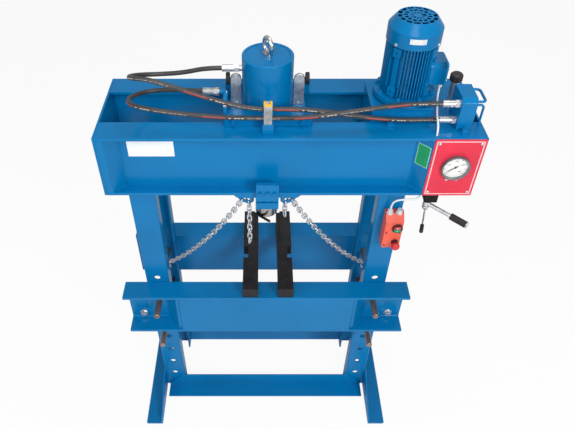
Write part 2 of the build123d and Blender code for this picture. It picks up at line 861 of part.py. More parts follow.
# Clamp block with a hole for each hose, and the plate on its top
clamp = block(-clamp_half, clamp_half, clamp_face, -post_front, clamp_low, clamp_top)
for level in (clamp_upper_level, clamp_lower_level):
    clamp -= rod((-clamp_width, -clamp_line, level), (1, 0, 0), hose_dia + 2 * clamp_clear, 2 * clamp_width)
clamp_plate = block(-clamp_half, clamp_half, clamp_face, -post_front, clamp_top, clamp_top + clamp_lid)
save("hose_clamp", clamp, clamp_plate)


# Nut and crimped sleeve of a hose end, from the nut's free face along a heading
def hose_end(start, heading):
    along = Vector(*heading).normalized()
    nut = hex_bar(start, along, nut_across, nut_length)
    return nut + rod(Vector(*start) + along * nut_length, along, ferrule_dia, ferrule_length)


# Hose ends on the carriage: a straight adapter at the barrel and a bent pipe down to the saddle's bar
upper_start = (nut_length - upper_nut_end, 0, hose_upper_level)
upper_adapter = rod((0, 0, hose_upper_level), (-1, 0, 0), adapter_dia, -upper_start[0])
upper_fitting = hose_end(upper_start, (-1, 0, 0)) + upper_adapter
lower_along = Vector(*lower_heading).normalized()
lower_start = Vector(*lower_nut_end) - lower_along * nut_length
elbow_y = saddle_bar / 2 - saddle_depth / 2
elbow_turn = lower_start - lower_along * elbow_run
elbow_foot = Vector(elbow_turn.X, elbow_y, saddle_top)
elbow_line = [lower_start, elbow_turn, Vector(elbow_turn.X, elbow_y, elbow_level), elbow_foot]
elbow = sweep(Plane(origin=lower_start, z_dir=elbow_turn - lower_start) * Circle(elbow_dia / 2),
              path=FilletPolyline(*elbow_line, radius=elbow_bend))
lower_fitting = hose_end(lower_start, lower_along) + elbow
barrel_room = rod((0, 0, keel_top), (0, 0, 1), barrel_dia, barrel_top - keel_top)
save("port_fittings", upper_fitting - barrel_room, lower_fitting)

# Hose ends on the valve block
pump_nut_x = pump_hose_end + ferrule_length + nut_length
save("pump_fittings", *[hose_end((pump_nut_x, -pump_hose_line, level), (-1, 0, 0))
                        for level in (pump_upper_level, pump_lower_level)])

# Hoses between the cylinder's ports and the valve block
upper_first = (-upper_nut_end - ferrule_length, 0, hose_upper_level)
upper_last = (pump_hose_end, -pump_hose_line, pump_lower_level)
save("upper_hose", tube([upper_first, *hose_upper_route, upper_last], hose_dia, "upper_hose"))
lower_first = lower_start + lower_along * (nut_length + ferrule_length)
lower_second = lower_first + lower_along * (ferrule_length + nut_length)
lower_last = (pump_hose_end, -pump_hose_line, pump_upper_level)
save("lower_hose", tube([lower_first, lower_second, *hose_lower_route, lower_last], hose_dia, "lower_hose"))

# Oil tank hung between the girders: tall under the motor, level with the beam beside it, open at the top
tank_low = beam_top - tank_height
tank_half = tank_depth / 2
tank = block(tank_left, tank_right, -tank_half, tank_half, tank_low, beam_top)
tank += block(tank_left, tank_step, -tank_half, tank_half, beam_top, tank_top)
tank_room = tank_half - tank_wall
tank_floor = tank_low + tank_wall
tank_inner = tank_left + tank_wall
tank -= block(tank_inner, tank_right - tank_wall, -tank_room, tank_room, tank_floor, beam_top)
tank -= block(tank_inner, tank_step - tank_wall, -tank_room, tank_room, tank_floor, tank_top)
save("oil_tank", tank)

# Lid on the tall part, and the deck plate on the low part
lid = block(tank_left - lid_lip, tank_step, -tank_half - lid_lip, tank_half + lid_lip, tank_top, lid_top)
deck = block(tank_step, tank_right + deck_over, -tank_half, tank_half, beam_top, deck_top)
save("tank_lid", lid, deck)

# Bell housing between lid and motor: a foot ring below a wider rim
bell = rod((motor_middle, 0, lid_top), (0, 0, 1), bell_foot_dia, bell_height)
bell += rod((motor_middle, 0, bell_top - bell_rim), (0, 0, 1), motor_flange_dia, bell_rim)
bell -= rod((motor_middle, 0, lid_top - overrun), (0, 0, 1), bell_bore_dia, bell_height + 2 * overrun)
save("bell_housing", bell)

# Motor body: flange, core, fins and four columns of foot lugs, with room cut for the terminal box
box_x = motor_middle + box_seat
box_z = motor_low + box_low
box_room = block(box_x, box_x + box_width, box_back - box_depth, box_back, box_z, box_z + box_height)
motor = rod((0, 0, bell_top), (0, 0, 1), motor_flange_dia, motor_flange_thick)
motor += rod((0, 0, motor_low), (0, 0, 1), motor_core, motor_length)
fin_reach = (motor_fin_dia - motor_core) / 2 + overrun
fin_middle = motor_fin_dia / 2 - fin_reach / 2
fin_turns = [i * 360 / motor_fin_count for i in range(motor_fin_count)]
lug_turns = [lug_first_turn + i * 90 for i in range(4)]
fin_plan = Sketch()
for turn in fin_turns:
    if min(abs(turn - lug_turn) for lug_turn in lug_turns) > lug_room_turn:
        fin_plan += Rot(0, 0, turn) * Pos(fin_middle, 0) * Rectangle(fin_reach, motor_fin_thick)
motor += Pos(0, 0, motor_low) * extrude(fin_plan, motor_length)
lug_x0 = motor_core / 2 - overrun
lug_x1 = motor_fin_dia / 2 + lug_out
lug_half = lug_width / 2
pad_half = lug_pad_width / 2
column_top = cover_low - lug_gap
for turn in lug_turns:
    column = block(lug_x0, lug_x1 - lug_pad_in, -pad_half, pad_half, motor_low, column_top)
    for low in (motor_low + lug_low, column_top - lug_height):
        lug = block(lug_x0, lug_x1, -lug_half, lug_half, low, low + lug_height)
        lug_face = (lug_x1 + overrun, 0, low + lug_height / 2)
        column += lug - rod(lug_face, (-1, 0, 0), lug_hole_dia, lug_half)
    motor += Rot(0, 0, turn) * column
motor = Pos(motor_middle, 0, 0) * motor - box_room
shaft_depth = motor_shaft_dia * 2
shaft_bore = motor_shaft_dia + 2 * spindle_clear
motor -= rod((motor_middle, 0, motor_top - shaft_depth), (0, 0, 1), shaft_bore, shaft_depth + overrun)
save("motor_body", motor)

# Fan cover: a sheet cap with a grille in its top
cover_high = cover_low + cover_straight
cover_roof = cover_high + cover_cone
cover_r = cover_dia / 2
roof_r = cover_top_dia / 2
w = cover_wall
cover_shape = outline([(cover_r - w, cover_low), (cover_r, cover_low), (cover_r, cover_high),
                       (roof_r, cover_roof), (0, cover_roof), (0, cover_roof - w),
                       (roof_r - w / 2, cover_roof - w), (cover_r - w, cover_high - w / 2)])
cover = revolve(Plane.XZ * cover_shape, Axis.Z)
hub_r = grille_hub_dia / 2
ring_step = (roof_r - hub_r) / grille_rings
slots = Sketch()
for ring in range(grille_rings):
    ring_r = hub_r + (ring + 1 / 2) * ring_step
    slot_width = 2 * math.pi * ring_r / grille_slots - grille_bar
    for i in range(grille_slots):
        turn = Rot(0, 0, (i + ring / 2) * 360 / grille_slots)
        slots += turn * Pos(ring_r, 0) * Rectangle(ring_step - grille_bar, slot_width)
cover -= Pos(0, 0, cover_roof - w - overrun) * extrude(slots, w + 2 * overrun)
save("fan_cover", Pos(motor_middle, 0, 0) * cover)

# Fan on its shaft under the cover
fan_low = motor_top + fan_gap
fan = rod((0, 0, fan_low), (0, 0, 1), fan_hub_dia, fan_height)
fan += rod((0, 0, motor_top - shaft_depth + overrun), (0, 0, 1), motor_shaft_dia, shaft_depth + fan_gap)
for i in range(fan_blades):
    blade = block(0, fan_dia / 2, -fan_blade / 2, fan_blade / 2, fan_low, fan_low + fan_height)
    fan += Rot(0, 0, i * 360 / fan_blades) * blade
save("motor_fan", Pos(motor_middle, 0, 0) * fan)

# Terminal box on the motor's right side, with its lid
box_front = box_back - box_depth
box_top = box_z + box_height
cap_x = box_x + box_width - box_lid
box_body = block(box_x, cap_x, box_front, box_back, box_z, box_top)
box_cap = block(cap_x, box_x + box_width, box_front, box_back, box_z, box_top)
box_body = fillet(box_body.edges().filter_by(Axis.X).group_by(Axis.Z)[-1], box_round)
box_cap = fillet(box_cap.edges().filter_by(Axis.X).group_by(Axis.Z)[-1], box_round)
box_cap = chamfer(box_cap.faces().sort_by(Axis.X)[-1].edges(), box_edge)
save("terminal_box", box_body, box_cap)

# Valve block on the lid, cut off at its front upper edge
valve_right = block_left + block_width
block_back = block_depth - block_front
riser = block(block_left, valve_right, -block_front, block_back, deck_top, deck_top + block_height)
riser += block(block_left, valve_right, -block_front, -tank_half, beam_top, deck_top)
riser = chamfer(riser.edges().filter_by(Axis.X).group_by(Axis.Z)[-1].sort_by(Axis.Y)[0], block_cut)
save("valve_block", riser)

# Filler neck and its ribbed breather cap
neck = rod((filler_x, filler_y, deck_top), (0, 0, 1), filler_dia, filler_height)
cap = rod((0, 0, 0), (0, 0, 1), filler_cap_dia, filler_cap_height)
for i in range(filler_ribs):
    rib = rod((filler_cap_dia / 2, 0, 0), (0, 0, 1), filler_cap_dia / filler_ribs, filler_cap_height)
    cap -= Rot(0, 0, i * 360 / filler_ribs) * rib
save("filler_breather", neck, Pos(filler_x, filler_y, deck_top + filler_height) * cap)

# Bent guard rod on the valve block's side, and the pipe down to the gauge
guard_ys = [-block_front + block_depth * share for share in guard_side_shares]
guard_x = valve_right + guard_reach
guard_line = [(valve_right, guard_ys[0], guard_level), (guard_x, guard_ys[0], guard_level),
              (guard_x, guard_ys[1], guard_level), (valve_right, guard_ys[1], guard_level)]
guard = sweep(Plane(origin=guard_line[0], z_dir=(1, 0, 0)) * Circle(guard_dia / 2),
              path=FilletPolyline(*guard_line, radius=guard_bend))
pipe_y = -block_front + block_depth * gauge_pipe_share
pipe_x = valve_right + gauge_pipe_reach
pipe_corner = (pipe_x, pipe_y, gauge_pipe_level)
pipe_line = [(valve_right, pipe_y, gauge_pipe_level), pipe_corner, (pipe_x, pipe_y, beam_top)]
pipe = sweep(Plane(origin=pipe_line[0], z_dir=(1, 0, 0)) * Circle(gauge_pipe_dia / 2),
             path=FilletPolyline(*pipe_line, radius=guard_bend))
save("valve_pipes", guard, pipe)

# Control valve under the beam, with the spindle that both levers turn on
valve_low = beam_low - valve_height
valve_back = valve_depth - valve_front
valve = block(valve_left, valve_left + valve_width, -valve_front, valve_back, valve_low, beam_low)
valve = chamfer(valve.edges().group_by(Axis.Z)[0], valve_edge)
lever_hub_low = valve_low - hub_gap - lever_hub_height
trip_hub_low = lever_hub_low - hub_space - trip_hub_height
spindle_low = trip_hub_low - hub_gap
valve += rod((spindle_x, -spindle_y, spindle_low), (0, 0, 1), spindle_dia, valve_low - spindle_low)
nut_seat = (spindle_x, -spindle_y, spindle_low - spindle_nut_height)
valve += hex_bar(nut_seat, (0, 0, 1), spindle_nut, spindle_nut_height)
save("control_valve", valve)


# Hub on the spindle with a bar that leaves it at a turn and a drop
def lever(hub_low, hub_height, dia, length, turn, drop):
    hub = rod((spindle_x, -spindle_y, hub_low), (0, 0, 1), hub_dia, hub_height)
    along = Vector(1, 0, 0).rotate(Axis.Y, drop).rotate(Axis.Z, turn)
    start = Vector(spindle_x, -spindle_y, hub_low + hub_height / 2)
    body = hub + rod(start, along, dia, length)
    bore_dia = spindle_dia + 2 * spindle_clear
    bore = rod((spindle_x, -spindle_y, hub_low - hub_dia), (0, 0, 1), bore_dia, 2 * hub_dia + hub_height)
    return body - bore, start, along


# Sleeve over the end of a lever's bar
def grip(start, along, reach, length, dia, bar_dia):
    sleeve = rod(start + along * (reach - length), along, dia, length)
    sleeve = fillet(sleeve.edges().filter_by(GeomType.CIRCLE), (dia - bar_dia) / 5)
    bore_start = start + along * (reach - length - overrun)
    return sleeve - rod(bore_start, along, bar_dia + 2 * grip_clear, length + 2 * overrun)


main, main_start, main_along = lever(
    lever_hub_low, lever_hub_height, lever_dia, lever_length, lever_turn, lever_drop)
main += rod(main_start + main_along * lever_length, main_along, lever_end_dia, lever_end_thick)
save("main_lever", main)
save("main_grip", grip(main_start, main_along, lever_length, lever_grip_length, lever_grip_dia, lever_dia))
trip, trip_start, trip_along = lever(trip_hub_low, trip_hub_height, trip_dia, trip_length, trip_turn, 0)
trip_grip = grip(trip_start, trip_along, trip_length, trip_grip_length, trip_grip_dia, trip_dia)
save("trip_lever", trip, trip_grip)

# Panel over the beam's right front, with a hole for the gauge
panel = block(beam_right - panel_width, beam_right - panel_edge, -panel_front, -half_depth,
              beam_low + panel_edge, beam_top - panel_edge)
panel = fillet(panel.edges().filter_by(Axis.Y), panel_corner)
panel_bore = gauge_case_dia + 2 * gauge_clear
panel -= rod((gauge_x, -panel_front - overrun, gauge_z), (0, 1, 0), panel_bore, panel_thick + 2 * overrun)
save("gauge_panel", panel)

# Gauge case with its rim before the panel and its body behind
gauge_face = -panel_front - gauge_stand
case = rod((gauge_x, gauge_face, gauge_z), (0, 1, 0), gauge_dia, gauge_stand)
case += rod((gauge_x, -panel_front, gauge_z), (0, 1, 0), gauge_case_dia, gauge_case_depth)
recess_dia = gauge_dia - 2 * gauge_rim
recess_depth = gauge_stand - gauge_floor + overrun
case -= rod((gauge_x, gauge_face - overrun, gauge_z), (0, 1, 0), recess_dia, recess_depth)
dial_back = -panel_front - gauge_floor
needle_bore = needle_pin_dia + 2 * needle_clear
pin_room = rod((gauge_x, gauge_face, gauge_z), (0, 1, 0), needle_bore, gauge_stand + needle_pin_length)
dial = rod((gauge_x, dial_back - dial_thick, gauge_z), (0, 1, 0), recess_dia - 2 * gauge_clear, dial_thick)
save("gauge_case", case - pin_room, dial - pin_room)

# Needle on its pin, and the glass before it
hand_back = dial_back - dial_thick - needle_rise
hand_half = needle_width / 2
hand_shape = outline([(-needle_tail, -hand_half), (needle_length / 2, -hand_half), (needle_length, 0),
                      (needle_length / 2, hand_half), (-needle_tail, hand_half)])
hand_plane = Plane(origin=(gauge_x, hand_back, gauge_z), x_dir=(1, 0, 0), z_dir=(0, -1, 0))
hand = hand_plane * Rot(0, 0, needle_turn) * extrude(hand_shape + Circle(needle_hub_dia / 2), needle_thick)
hand_pin = needle_rise + dial_thick + needle_pin_length
hand += rod((gauge_x, hand_back, gauge_z), (0, 1, 0), needle_pin_dia, hand_pin)
save("gauge_needle", hand)
glass_front = gauge_face + glass_sink
glass_dia = recess_dia - 2 * gauge_clear
save("gauge_glass", rod((gauge_x, glass_front, gauge_z), (0, 1, 0), glass_dia, glass_thick))

# Switch box with a sloped top edge, and pockets for its buttons
switch_front = -upright_out - switch_depth
switch_top = switch_low + switch_height
slope_low = switch_top - switch_slope
side = outline([(-upright_out, switch_low), (switch_front, switch_low), (switch_front, slope_low),
                (switch_front + switch_slope, switch_top), (-upright_out, switch_top)])
switch = Plane(origin=(switch_left, 0, 0), x_dir=(0, 1, 0), z_dir=(1, 0, 0)) * extrude(side, switch_width)
switch = chamfer(switch.edges().filter_by(Axis.Z).group_by(Axis.Y)[0], switch_edge)
button_x = switch_left + switch_width * button_x_share
button_z = switch_low + switch_height * button_z_share
stop_z = switch_low + switch_height * stop_z_share
pocket_back = switch_front + button_height + button_travel
button_step = (button_height + button_gap) / 2
button_zs = {"stop_button": button_z + button_step, "start_button": button_z - button_step}
bezel_front = switch_front - bezel_thick
bezel = rod((button_x, bezel_front, button_z), (0, 1, 0), bezel_dia, bezel_thick)
for name, level in button_zs.items():
    pocket_x = button_width / 2 + button_clear
    pocket_z = button_height / 2 + button_clear
    room = block(button_x - pocket_x, button_x + pocket_x, bezel_front - overrun, pocket_back,
                 level - pocket_z, level + pocket_z)
    bezel -= room
    switch -= room
    button_back = pocket_back - button_travel - button_clear
    button = block(button_x - button_width / 2, button_x + button_width / 2, bezel_front - button_stand,
                   button_back, level - button_height / 2, level + button_height / 2)
    save(name, button)
collar_front = switch_front - stop_collar_height
stem_dia = stop_stem_dia + 2 * spindle_clear
stem_depth = stop_collar_height + switch_depth / 2
stem_room = rod((button_x, collar_front - overrun, stop_z), (0, 1, 0), stem_dia, stem_depth)
collar = rod((button_x, collar_front, stop_z), (0, 1, 0), stop_collar_dia, stop_collar_height)
save("switch_box", switch - stem_room)
save("button_bezels", bezel, collar - stem_room)

# Emergency stop: a domed head on a stem
head_back = collar_front - stop_travel - button_gap
stop_head = rod((button_x, head_back - stop_dome, stop_z), (0, 1, 0), stop_dia, stop_dome)
stop_head = fillet(stop_head.edges().filter_by(GeomType.CIRCLE).sort_by(Axis.Y)[0], stop_dome / 2)
stem_length = stop_travel + button_gap + stop_collar_height + switch_depth / 5
stop_stem = rod((button_x, head_back, stop_z), (0, 1, 0), stop_stem_dia, stem_length)
save("emergency_button", stop_head + stop_stem)


# Cable gland: a hexagon foot and a round cap, along a direction
def gland_piece(start, direction, dia, height, across, foot):
    along = Vector(*direction)
    cap = rod(Vector(*start) + along * foot, along, dia, height - foot)
    return hex_bar(start, along, across, foot) + cap


gland_y = -upright_out - switch_depth / 2
switch_glands = [(switch_left + switch_width * share, gland_y, switch_top) for share in switch_gland_shares]
glands = [gland_piece(p, (0, 0, 1), switch_gland_dia, switch_gland_height, switch_gland_nut, gland_foot)
          for p in switch_glands]
glands.append(gland_piece((box_gland_x, -box_gland_y, box_z), (0, 0, -1),
                          box_gland_dia, box_gland_height, box_gland_nut, gland_foot))
save("cable_glands", *glands)

# Cable from the terminal box's gland, through the beam's flanges, to the switch box's first gland
cable_first = (box_gland_x, -box_gland_y, box_z - box_gland_height)
cable_last = (switch_glands[0][0], switch_glands[0][1], switch_top + switch_gland_height)
save("motor_cable", tube([cable_first, *cable_route, cable_last], cable_dia, "motor_cable"))
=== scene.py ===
import math

import bmesh
import bpy
from mathutils import Matrix, Vector


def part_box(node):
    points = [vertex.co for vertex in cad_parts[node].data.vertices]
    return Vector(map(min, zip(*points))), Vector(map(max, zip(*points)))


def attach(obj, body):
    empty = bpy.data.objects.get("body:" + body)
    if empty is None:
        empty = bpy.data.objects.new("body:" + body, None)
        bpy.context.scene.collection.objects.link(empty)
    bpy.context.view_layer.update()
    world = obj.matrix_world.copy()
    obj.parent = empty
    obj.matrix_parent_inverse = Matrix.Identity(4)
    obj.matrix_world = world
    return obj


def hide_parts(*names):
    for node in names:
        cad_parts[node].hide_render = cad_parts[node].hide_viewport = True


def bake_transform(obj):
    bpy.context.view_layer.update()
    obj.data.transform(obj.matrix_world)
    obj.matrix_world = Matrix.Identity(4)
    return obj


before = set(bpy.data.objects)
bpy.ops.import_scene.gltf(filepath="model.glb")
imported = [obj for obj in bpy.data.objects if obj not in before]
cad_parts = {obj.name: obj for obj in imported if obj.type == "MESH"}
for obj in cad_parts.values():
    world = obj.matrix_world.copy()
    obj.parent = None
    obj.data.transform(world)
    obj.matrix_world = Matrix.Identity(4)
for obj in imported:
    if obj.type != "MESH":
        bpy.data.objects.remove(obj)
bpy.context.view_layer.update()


# Floor ties and foot rails: steel angles and tapered rails, sawn to length, set against the uprights'
# feet, welded along every joint and sprayed with the blue machine enamel that covers the whole frame.
frame_blue = (0, 115, 174)
painted_edge = 0.0012
weld_radius = 0.0032
weld_ripple_pitch = 0.0034
weld_ripple_share = 0.14
weld_end_share = 0.6
bead_sides = 8
nearly_along = 0.9
sheen_spread = 0.2
smears_per_patch = 3
grain_spacing = 4
seam_gap = 0.00002
flat_within = 1.0
eased_above = 35.0


def linear(paint):
    """A paint-chart colour, each part 0 to 255, as a linear colour."""
    shares = [part / 255 for part in paint]
    return tuple(c / 12.92 if c <= 0.04045 else ((c + 0.055) / 1.055) ** 2.4 for c in shares) + (1.0,)


def toned(paint, share):
    """The same paint a little lighter or darker."""
    return tuple(min(255, part * share) for part in paint)


def cloud(tree, vector, size, depth):
    """Soft noise whose patches are about that size, in metres."""
    noise = tree.nodes.new("ShaderNodeTexNoise")
    noise.inputs["Scale"].default_value = 1 / size
    noise.inputs["Detail"].default_value = depth
    tree.links.new(vector, noise.inputs["Vector"])
    return noise.outputs["Fac"]


def ramp(tree, factor, low, high, start=0.3, end=0.7):
    """Colour that goes from low to high as the factor goes from start to end."""
    node = tree.nodes.new("ShaderNodeValToRGB")
    node.color_ramp.elements[0].position = start
    node.color_ramp.elements[1].position = end
    node.color_ramp.elements[0].color = linear(low)
    node.color_ramp.elements[1].color = linear(high)
    tree.links.new(factor, node.inputs["Fac"])
    return node.outputs["Color"]


def spread(tree, factor, low, high):
    """A number from low to high that follows the factor."""
    node = tree.nodes.new("ShaderNodeMapRange")
    node.inputs["To Min"].default_value = low
    node.inputs["To Max"].default_value = high
    tree.links.new(factor, node.inputs["Value"])
    return node.outputs["Result"]


def finish(name, paint, roughness, metal=0.0, gloss=0.5, drift=0.06, patch=0.16, grain=0.0006, relief=0.06,
           stretch=(1.0, 1.0, 1.0)):
    """A surface with its own drift of tone, uneven sheen and fine grain."""
    material = bpy.data.materials.new(name)
    material.use_nodes = True
    tree = material.node_tree
    shader = tree.nodes["Principled BSDF"]
    shader.inputs["Metallic"].default_value = metal
    shader.inputs["Specular IOR Level"].default_value = gloss
    place = tree.nodes.new("ShaderNodeTexCoord")
    pull = tree.nodes.new("ShaderNodeMapping")
    pull.inputs["Scale"].default_value = stretch
    tree.links.new(place.outputs["Object"], pull.inputs["Vector"])
    patches = cloud(tree, pull.outputs["Vector"], patch, 4.0)
    tone = ramp(tree, patches, toned(paint, 1 - drift), toned(paint, 1 + drift))
    tree.links.new(tone, shader.inputs["Base Color"])
    smears = cloud(tree, pull.outputs["Vector"], patch / smears_per_patch, 3.0)
    sheen = spread(tree, smears, roughness * (1 - sheen_spread), roughness * (1 + sheen_spread))
    tree.links.new(sheen, shader.inputs["Roughness"])
    bump = tree.nodes.new("ShaderNodeBump")
    bump.inputs["Strength"].default_value = relief
    bump.inputs["Distance"].default_value = grain
    grains = cloud(tree, pull.outputs["Vector"], grain * grain_spacing, 2.0)
    tree.links.new(grains, bump.inputs["Height"])
    tree.links.new(bump.outputs["Normal"], shader.inputs["Normal"])
    return material


def dress(material, *nodes, edge=0.0):
    """Gives made solids their finish, and eases their sharp edges by that much."""
    for name in nodes:
        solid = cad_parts[name]
        for slot in solid.material_slots:
            slot.material = material
        if edge:
            weld = solid.modifiers.new("seams", "WELD")
            weld.merge_threshold = seam_gap
            flat = solid.modifiers.new("flats", "DECIMATE")
            flat.decimate_type = "DISSOLVE"
            flat.angle_limit = math.radians(flat_within)
            ease = solid.modifiers.new("eased_edges", "BEVEL")
            ease.width = edge
            ease.segments = 2
            ease.limit_method = "ANGLE"
            ease.angle_limit = math.radians(eased_above)
            ease.use_clamp_overlap = False
            even = solid.modifiers.new("even_shading", "WEIGHTED_NORMAL")
            even.keep_sharp = False


def new_piece(name, shape, *materials, sharp=40.0):
    """A mesh object from a finished bmesh, smooth except at edges sharper than that angle."""
    bmesh.ops.recalc_face_normals(shape, faces=shape.faces[:])
    mesh = bpy.data.meshes.new(name)
    shape.to_mesh(mesh)
    shape.free()
    for material in materials:
        mesh.materials.append(material)
    mesh.polygons.foreach_set("use_smooth", [True] * len(mesh.polygons))
    mesh.set_sharp_from_angle(angle=math.radians(sharp))
    piece = bpy.data.objects.new(name, mesh)
    bpy.context.scene.collection.objects.link(piece)
    return piece


def tube(shape, points, radii, sides, up, closed=False):
    """A round skin along a line of points, closed on itself or capped at both ends."""
    last = len(points) - 1
    wrap = shape.loops.layers.uv.verify()
    rings = []
    reach = [0.0]
    for i, point in enumerate(points):
        before = points[i - 1] if i or closed else point
        after = points[(i + 1) % len(points)] if i < last or closed else point
        heading = (after - before).normalized()
        aside = heading.cross(up).normalized()
        over = aside.cross(heading)
        turns = [2 * math.pi * k / sides for k in range(sides)]
        spokes = [over * math.cos(a) + aside * math.sin(a) for a in turns]
        rings.append([shape.verts.new(point + spoke * radii[i]) for spoke in spokes])
        reach.append(reach[-1] + (after - point).length)
    pairs = list(zip(rings, rings[1:] + rings[:1])) if closed else list(zip(rings, rings[1:]))
    for i, (ring, following) in enumerate(pairs):
        for k in range(sides):
            n = (k + 1) % sides
            face = shape.faces.new((ring[k], ring[n], following[n], following[k]))
            marks = ((reach[i], k), (reach[i], k + 1), (reach[i + 1], k + 1), (reach[i + 1], k))
            for loop, (metres, step) in zip(face.loops, marks):
                loop[wrap].uv = (metres, step / sides)
    if not closed:
        shape.faces.new(rings[0])
        shape.faces.new(rings[-1])


def weld_run(shape, start, end, radius=weld_radius):
    """One rippled weld bead between two points."""
    run = end - start
    steps = max(2, round(run.length / weld_ripple_pitch) * 2)
    points = [start + run * (i / steps) for i in range(steps + 1)]
    radii = [radius * (1 + weld_ripple_share * (i % 2)) for i in range(steps + 1)]
    radii[0] = radii[-1] = radius * weld_end_share
    up = Vector((1, 0, 0)) if abs(run.normalized().z) > nearly_along else Vector((0, 0, 1))
    tube(shape, points, radii, bead_sides, up)


def four_corners(points):
    """The same line of points at the frame's left and right, front and back."""
    for sx in (-1, 1):
        for sy in (-1, 1):
            yield [Vector((middle_x + (p.x - middle_x) * sx, p.y * sy, p.z)) for p in points]


blue_enamel = finish("blue_enamel", frame_blue, 0.22, gloss=0.22, drift=0.035, patch=0.25, relief=0.04)
dress(blue_enamel, "floor_ties", "foot_rails", edge=painted_edge)
uprights_low, uprights_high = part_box("front_uprights")
middle_x = (uprights_low.x + uprights_high.x) / 2
ties_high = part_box("floor_ties")[1]
rails_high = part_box("foot_rails")[1]
tie_cut_low = 0.0162
tie_cut_reach = 0.0698
bead_out = 0.0018
rail_seam_foot = 0.012
upright_face = uprights_low.y
upright_width = 0.097
upright_inner = uprights_high.x - upright_width
tie_top = ties_high.z
shape = bmesh.new()
cut_start = Vector((ties_high.x + bead_out, upright_face, tie_cut_low + bead_out))
cut_end = Vector((ties_high.x - tie_cut_reach + bead_out, upright_face, tie_top + bead_out))
tie_top_end = Vector((upright_inner, upright_face, tie_top + bead_out))
rail_seam_low = Vector((uprights_high.x + bead_out, upright_face, rail_seam_foot))
rail_seam_high = Vector((uprights_high.x + bead_out, upright_face, rails_high.z))
rail_top_end = Vector((uprights_high.x + bead_out, uprights_high.y, rails_high.z))
for run in ([cut_start, cut_end], [cut_end, tie_top_end], [rail_seam_low, rail_seam_high],
            [rail_seam_high, rail_top_end]):
    for start, end in four_corners(run):
        weld_run(shape, start, end)
base_welds = new_piece("base_welds", shape, blue_enamel)
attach(base_welds, "frame")


# Uprights: four rolled channels with their webs outside, drilled on one pitch for the bed pins and
# welded to the beam above and the ties below.
dress(blue_enamel, "front_uprights", "rear_uprights", edge=painted_edge)
beam_low, beam_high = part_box("front_beam")
shape = bmesh.new()
top_seam = beam_low.z - bead_out
seam_inner = Vector((upright_inner, upright_face - bead_out, top_seam))
seam_outer = Vector((uprights_high.x, upright_face - bead_out, top_seam))
seam_back = Vector((uprights_high.x + bead_out, uprights_high.y, top_seam))
seam_in_back = Vector((upright_inner - bead_out, uprights_high.y, top_seam))
for run in ([seam_inner, seam_outer], [seam_outer, seam_back], [seam_inner, seam_in_back]):
    for start, end in four_corners(run):
        weld_run(shape, start, end)
upright_welds = new_piece("upright_welds", shape, blue_enamel)
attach(upright_welds, "frame")


# Beam: two rolled girders side by side, closed by flat end plates, with bent corner plates welded into
# the outer hollows. All of it is enamelled with the frame.
dress(blue_enamel, "front_beam", "rear_beam", "end_plates", "corner_plates", edge=painted_edge)
flange_thick = 0.011
web_face = -0.1465
slant_run = 0.0435
corner_strip = 0.031
panel_width = 0.174
ends_low, ends_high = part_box("end_plates")
seam_low = beam_low.z + flange_thick + bead_out
seam_high = beam_high.z - flange_thick - bead_out
shape = bmesh.new()
slants = [(ends_low.x + corner_strip, 1, -1), (ends_high.x - panel_width, -1, -1),
          (ends_low.x + corner_strip, 1, 1), (ends_high.x - corner_strip, -1, 1)]
for outer_x, inward, side in slants:
    outer = Vector((outer_x, side * -beam_low.y, 0))
    inner = Vector((outer_x + inward * slant_run, side * -web_face, 0))
    low = Vector((0, 0, seam_low))
    high = Vector((0, 0, seam_high))
    weld_run(shape, outer + low, inner + low)
    weld_run(shape, outer + high, inner + high)
    weld_run(shape, inner + low, inner + high)
beam_welds = new_piece("beam_welds", shape, blue_enamel)
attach(beam_welds, "frame")


# Bed: two rolled channels outside the uprights, their webs thickened at the pins by plates that are welded
# on along their sides and feet and enamelled with the frame.
dress(blue_enamel, "front_bed_channel", "rear_bed_channel", "bed_web_plates", edge=painted_edge)
zinc_grey = (206, 208, 210)
bright_zinc = finish("bright_zinc", zinc_grey, 0.28, metal=0.8, drift=0.1, patch=0.02, grain=0.0003)
bolt_across = 0.024
bolt_head = 0.012
washer_across = 0.038
washer_thick = 0.003
crown_start_share = 0.8
crown_radius_share = 0.86


def turned(shape, place, outward, profile, sides=24, material=0):
    """A turned solid on an axis, from its profile of radius and height; six sides make a hexagon."""
    axis = Vector(outward).normalized()
    spare = Vector((1, 0, 0)) if abs(axis.x) < nearly_along else Vector((0, 0, 1))
    aside = axis.cross(spare).normalized()
    over = aside.cross(axis)
    rings = []
    for radius, height in profile:
        centre = Vector(place) + axis * height
        if radius == 0:
            rings.append([shape.verts.new(centre)])
            continue
        turns = [2 * math.pi * k / sides for k in range(sides)]
        spokes = [aside * math.cos(a) + over * math.sin(a) for a in turns]
        rings.append([shape.verts.new(centre + spoke * radius) for spoke in spokes])
    for ring, following in zip(rings, rings[1:]):
        for k in range(sides):
            n = (k + 1) % sides
            if len(ring) == 1:
                face = shape.faces.new((ring[0], following[n], following[k]))
            elif len(following) == 1:
                face = shape.faces.new((ring[k], ring[n], following[0]))
            else:
                face = shape.faces.new((ring[k], ring[n], following[n], following[k]))
            face.material_index = material


def hexagon_bolt(shape, place, outward, across, head, washer, thick):
    """A hexagon head with its chamfered crown, on a flat washer."""
    wide = washer / 2
    ease = thick / 4
    washer_line = [(0, 0), (wide, 0), (wide, thick - ease), (wide - ease, thick), (0, thick)]
    turned(shape, place, outward, washer_line)
    seat = Vector(place) + Vector(outward).normalized() * thick
    corner = across / math.sqrt(3)
    crown = [(0, 0), (corner, 0), (corner, head * crown_start_share), (corner * crown_radius_share, head),
             (0, head)]
    turned(shape, seat, outward, crown, sides=6)


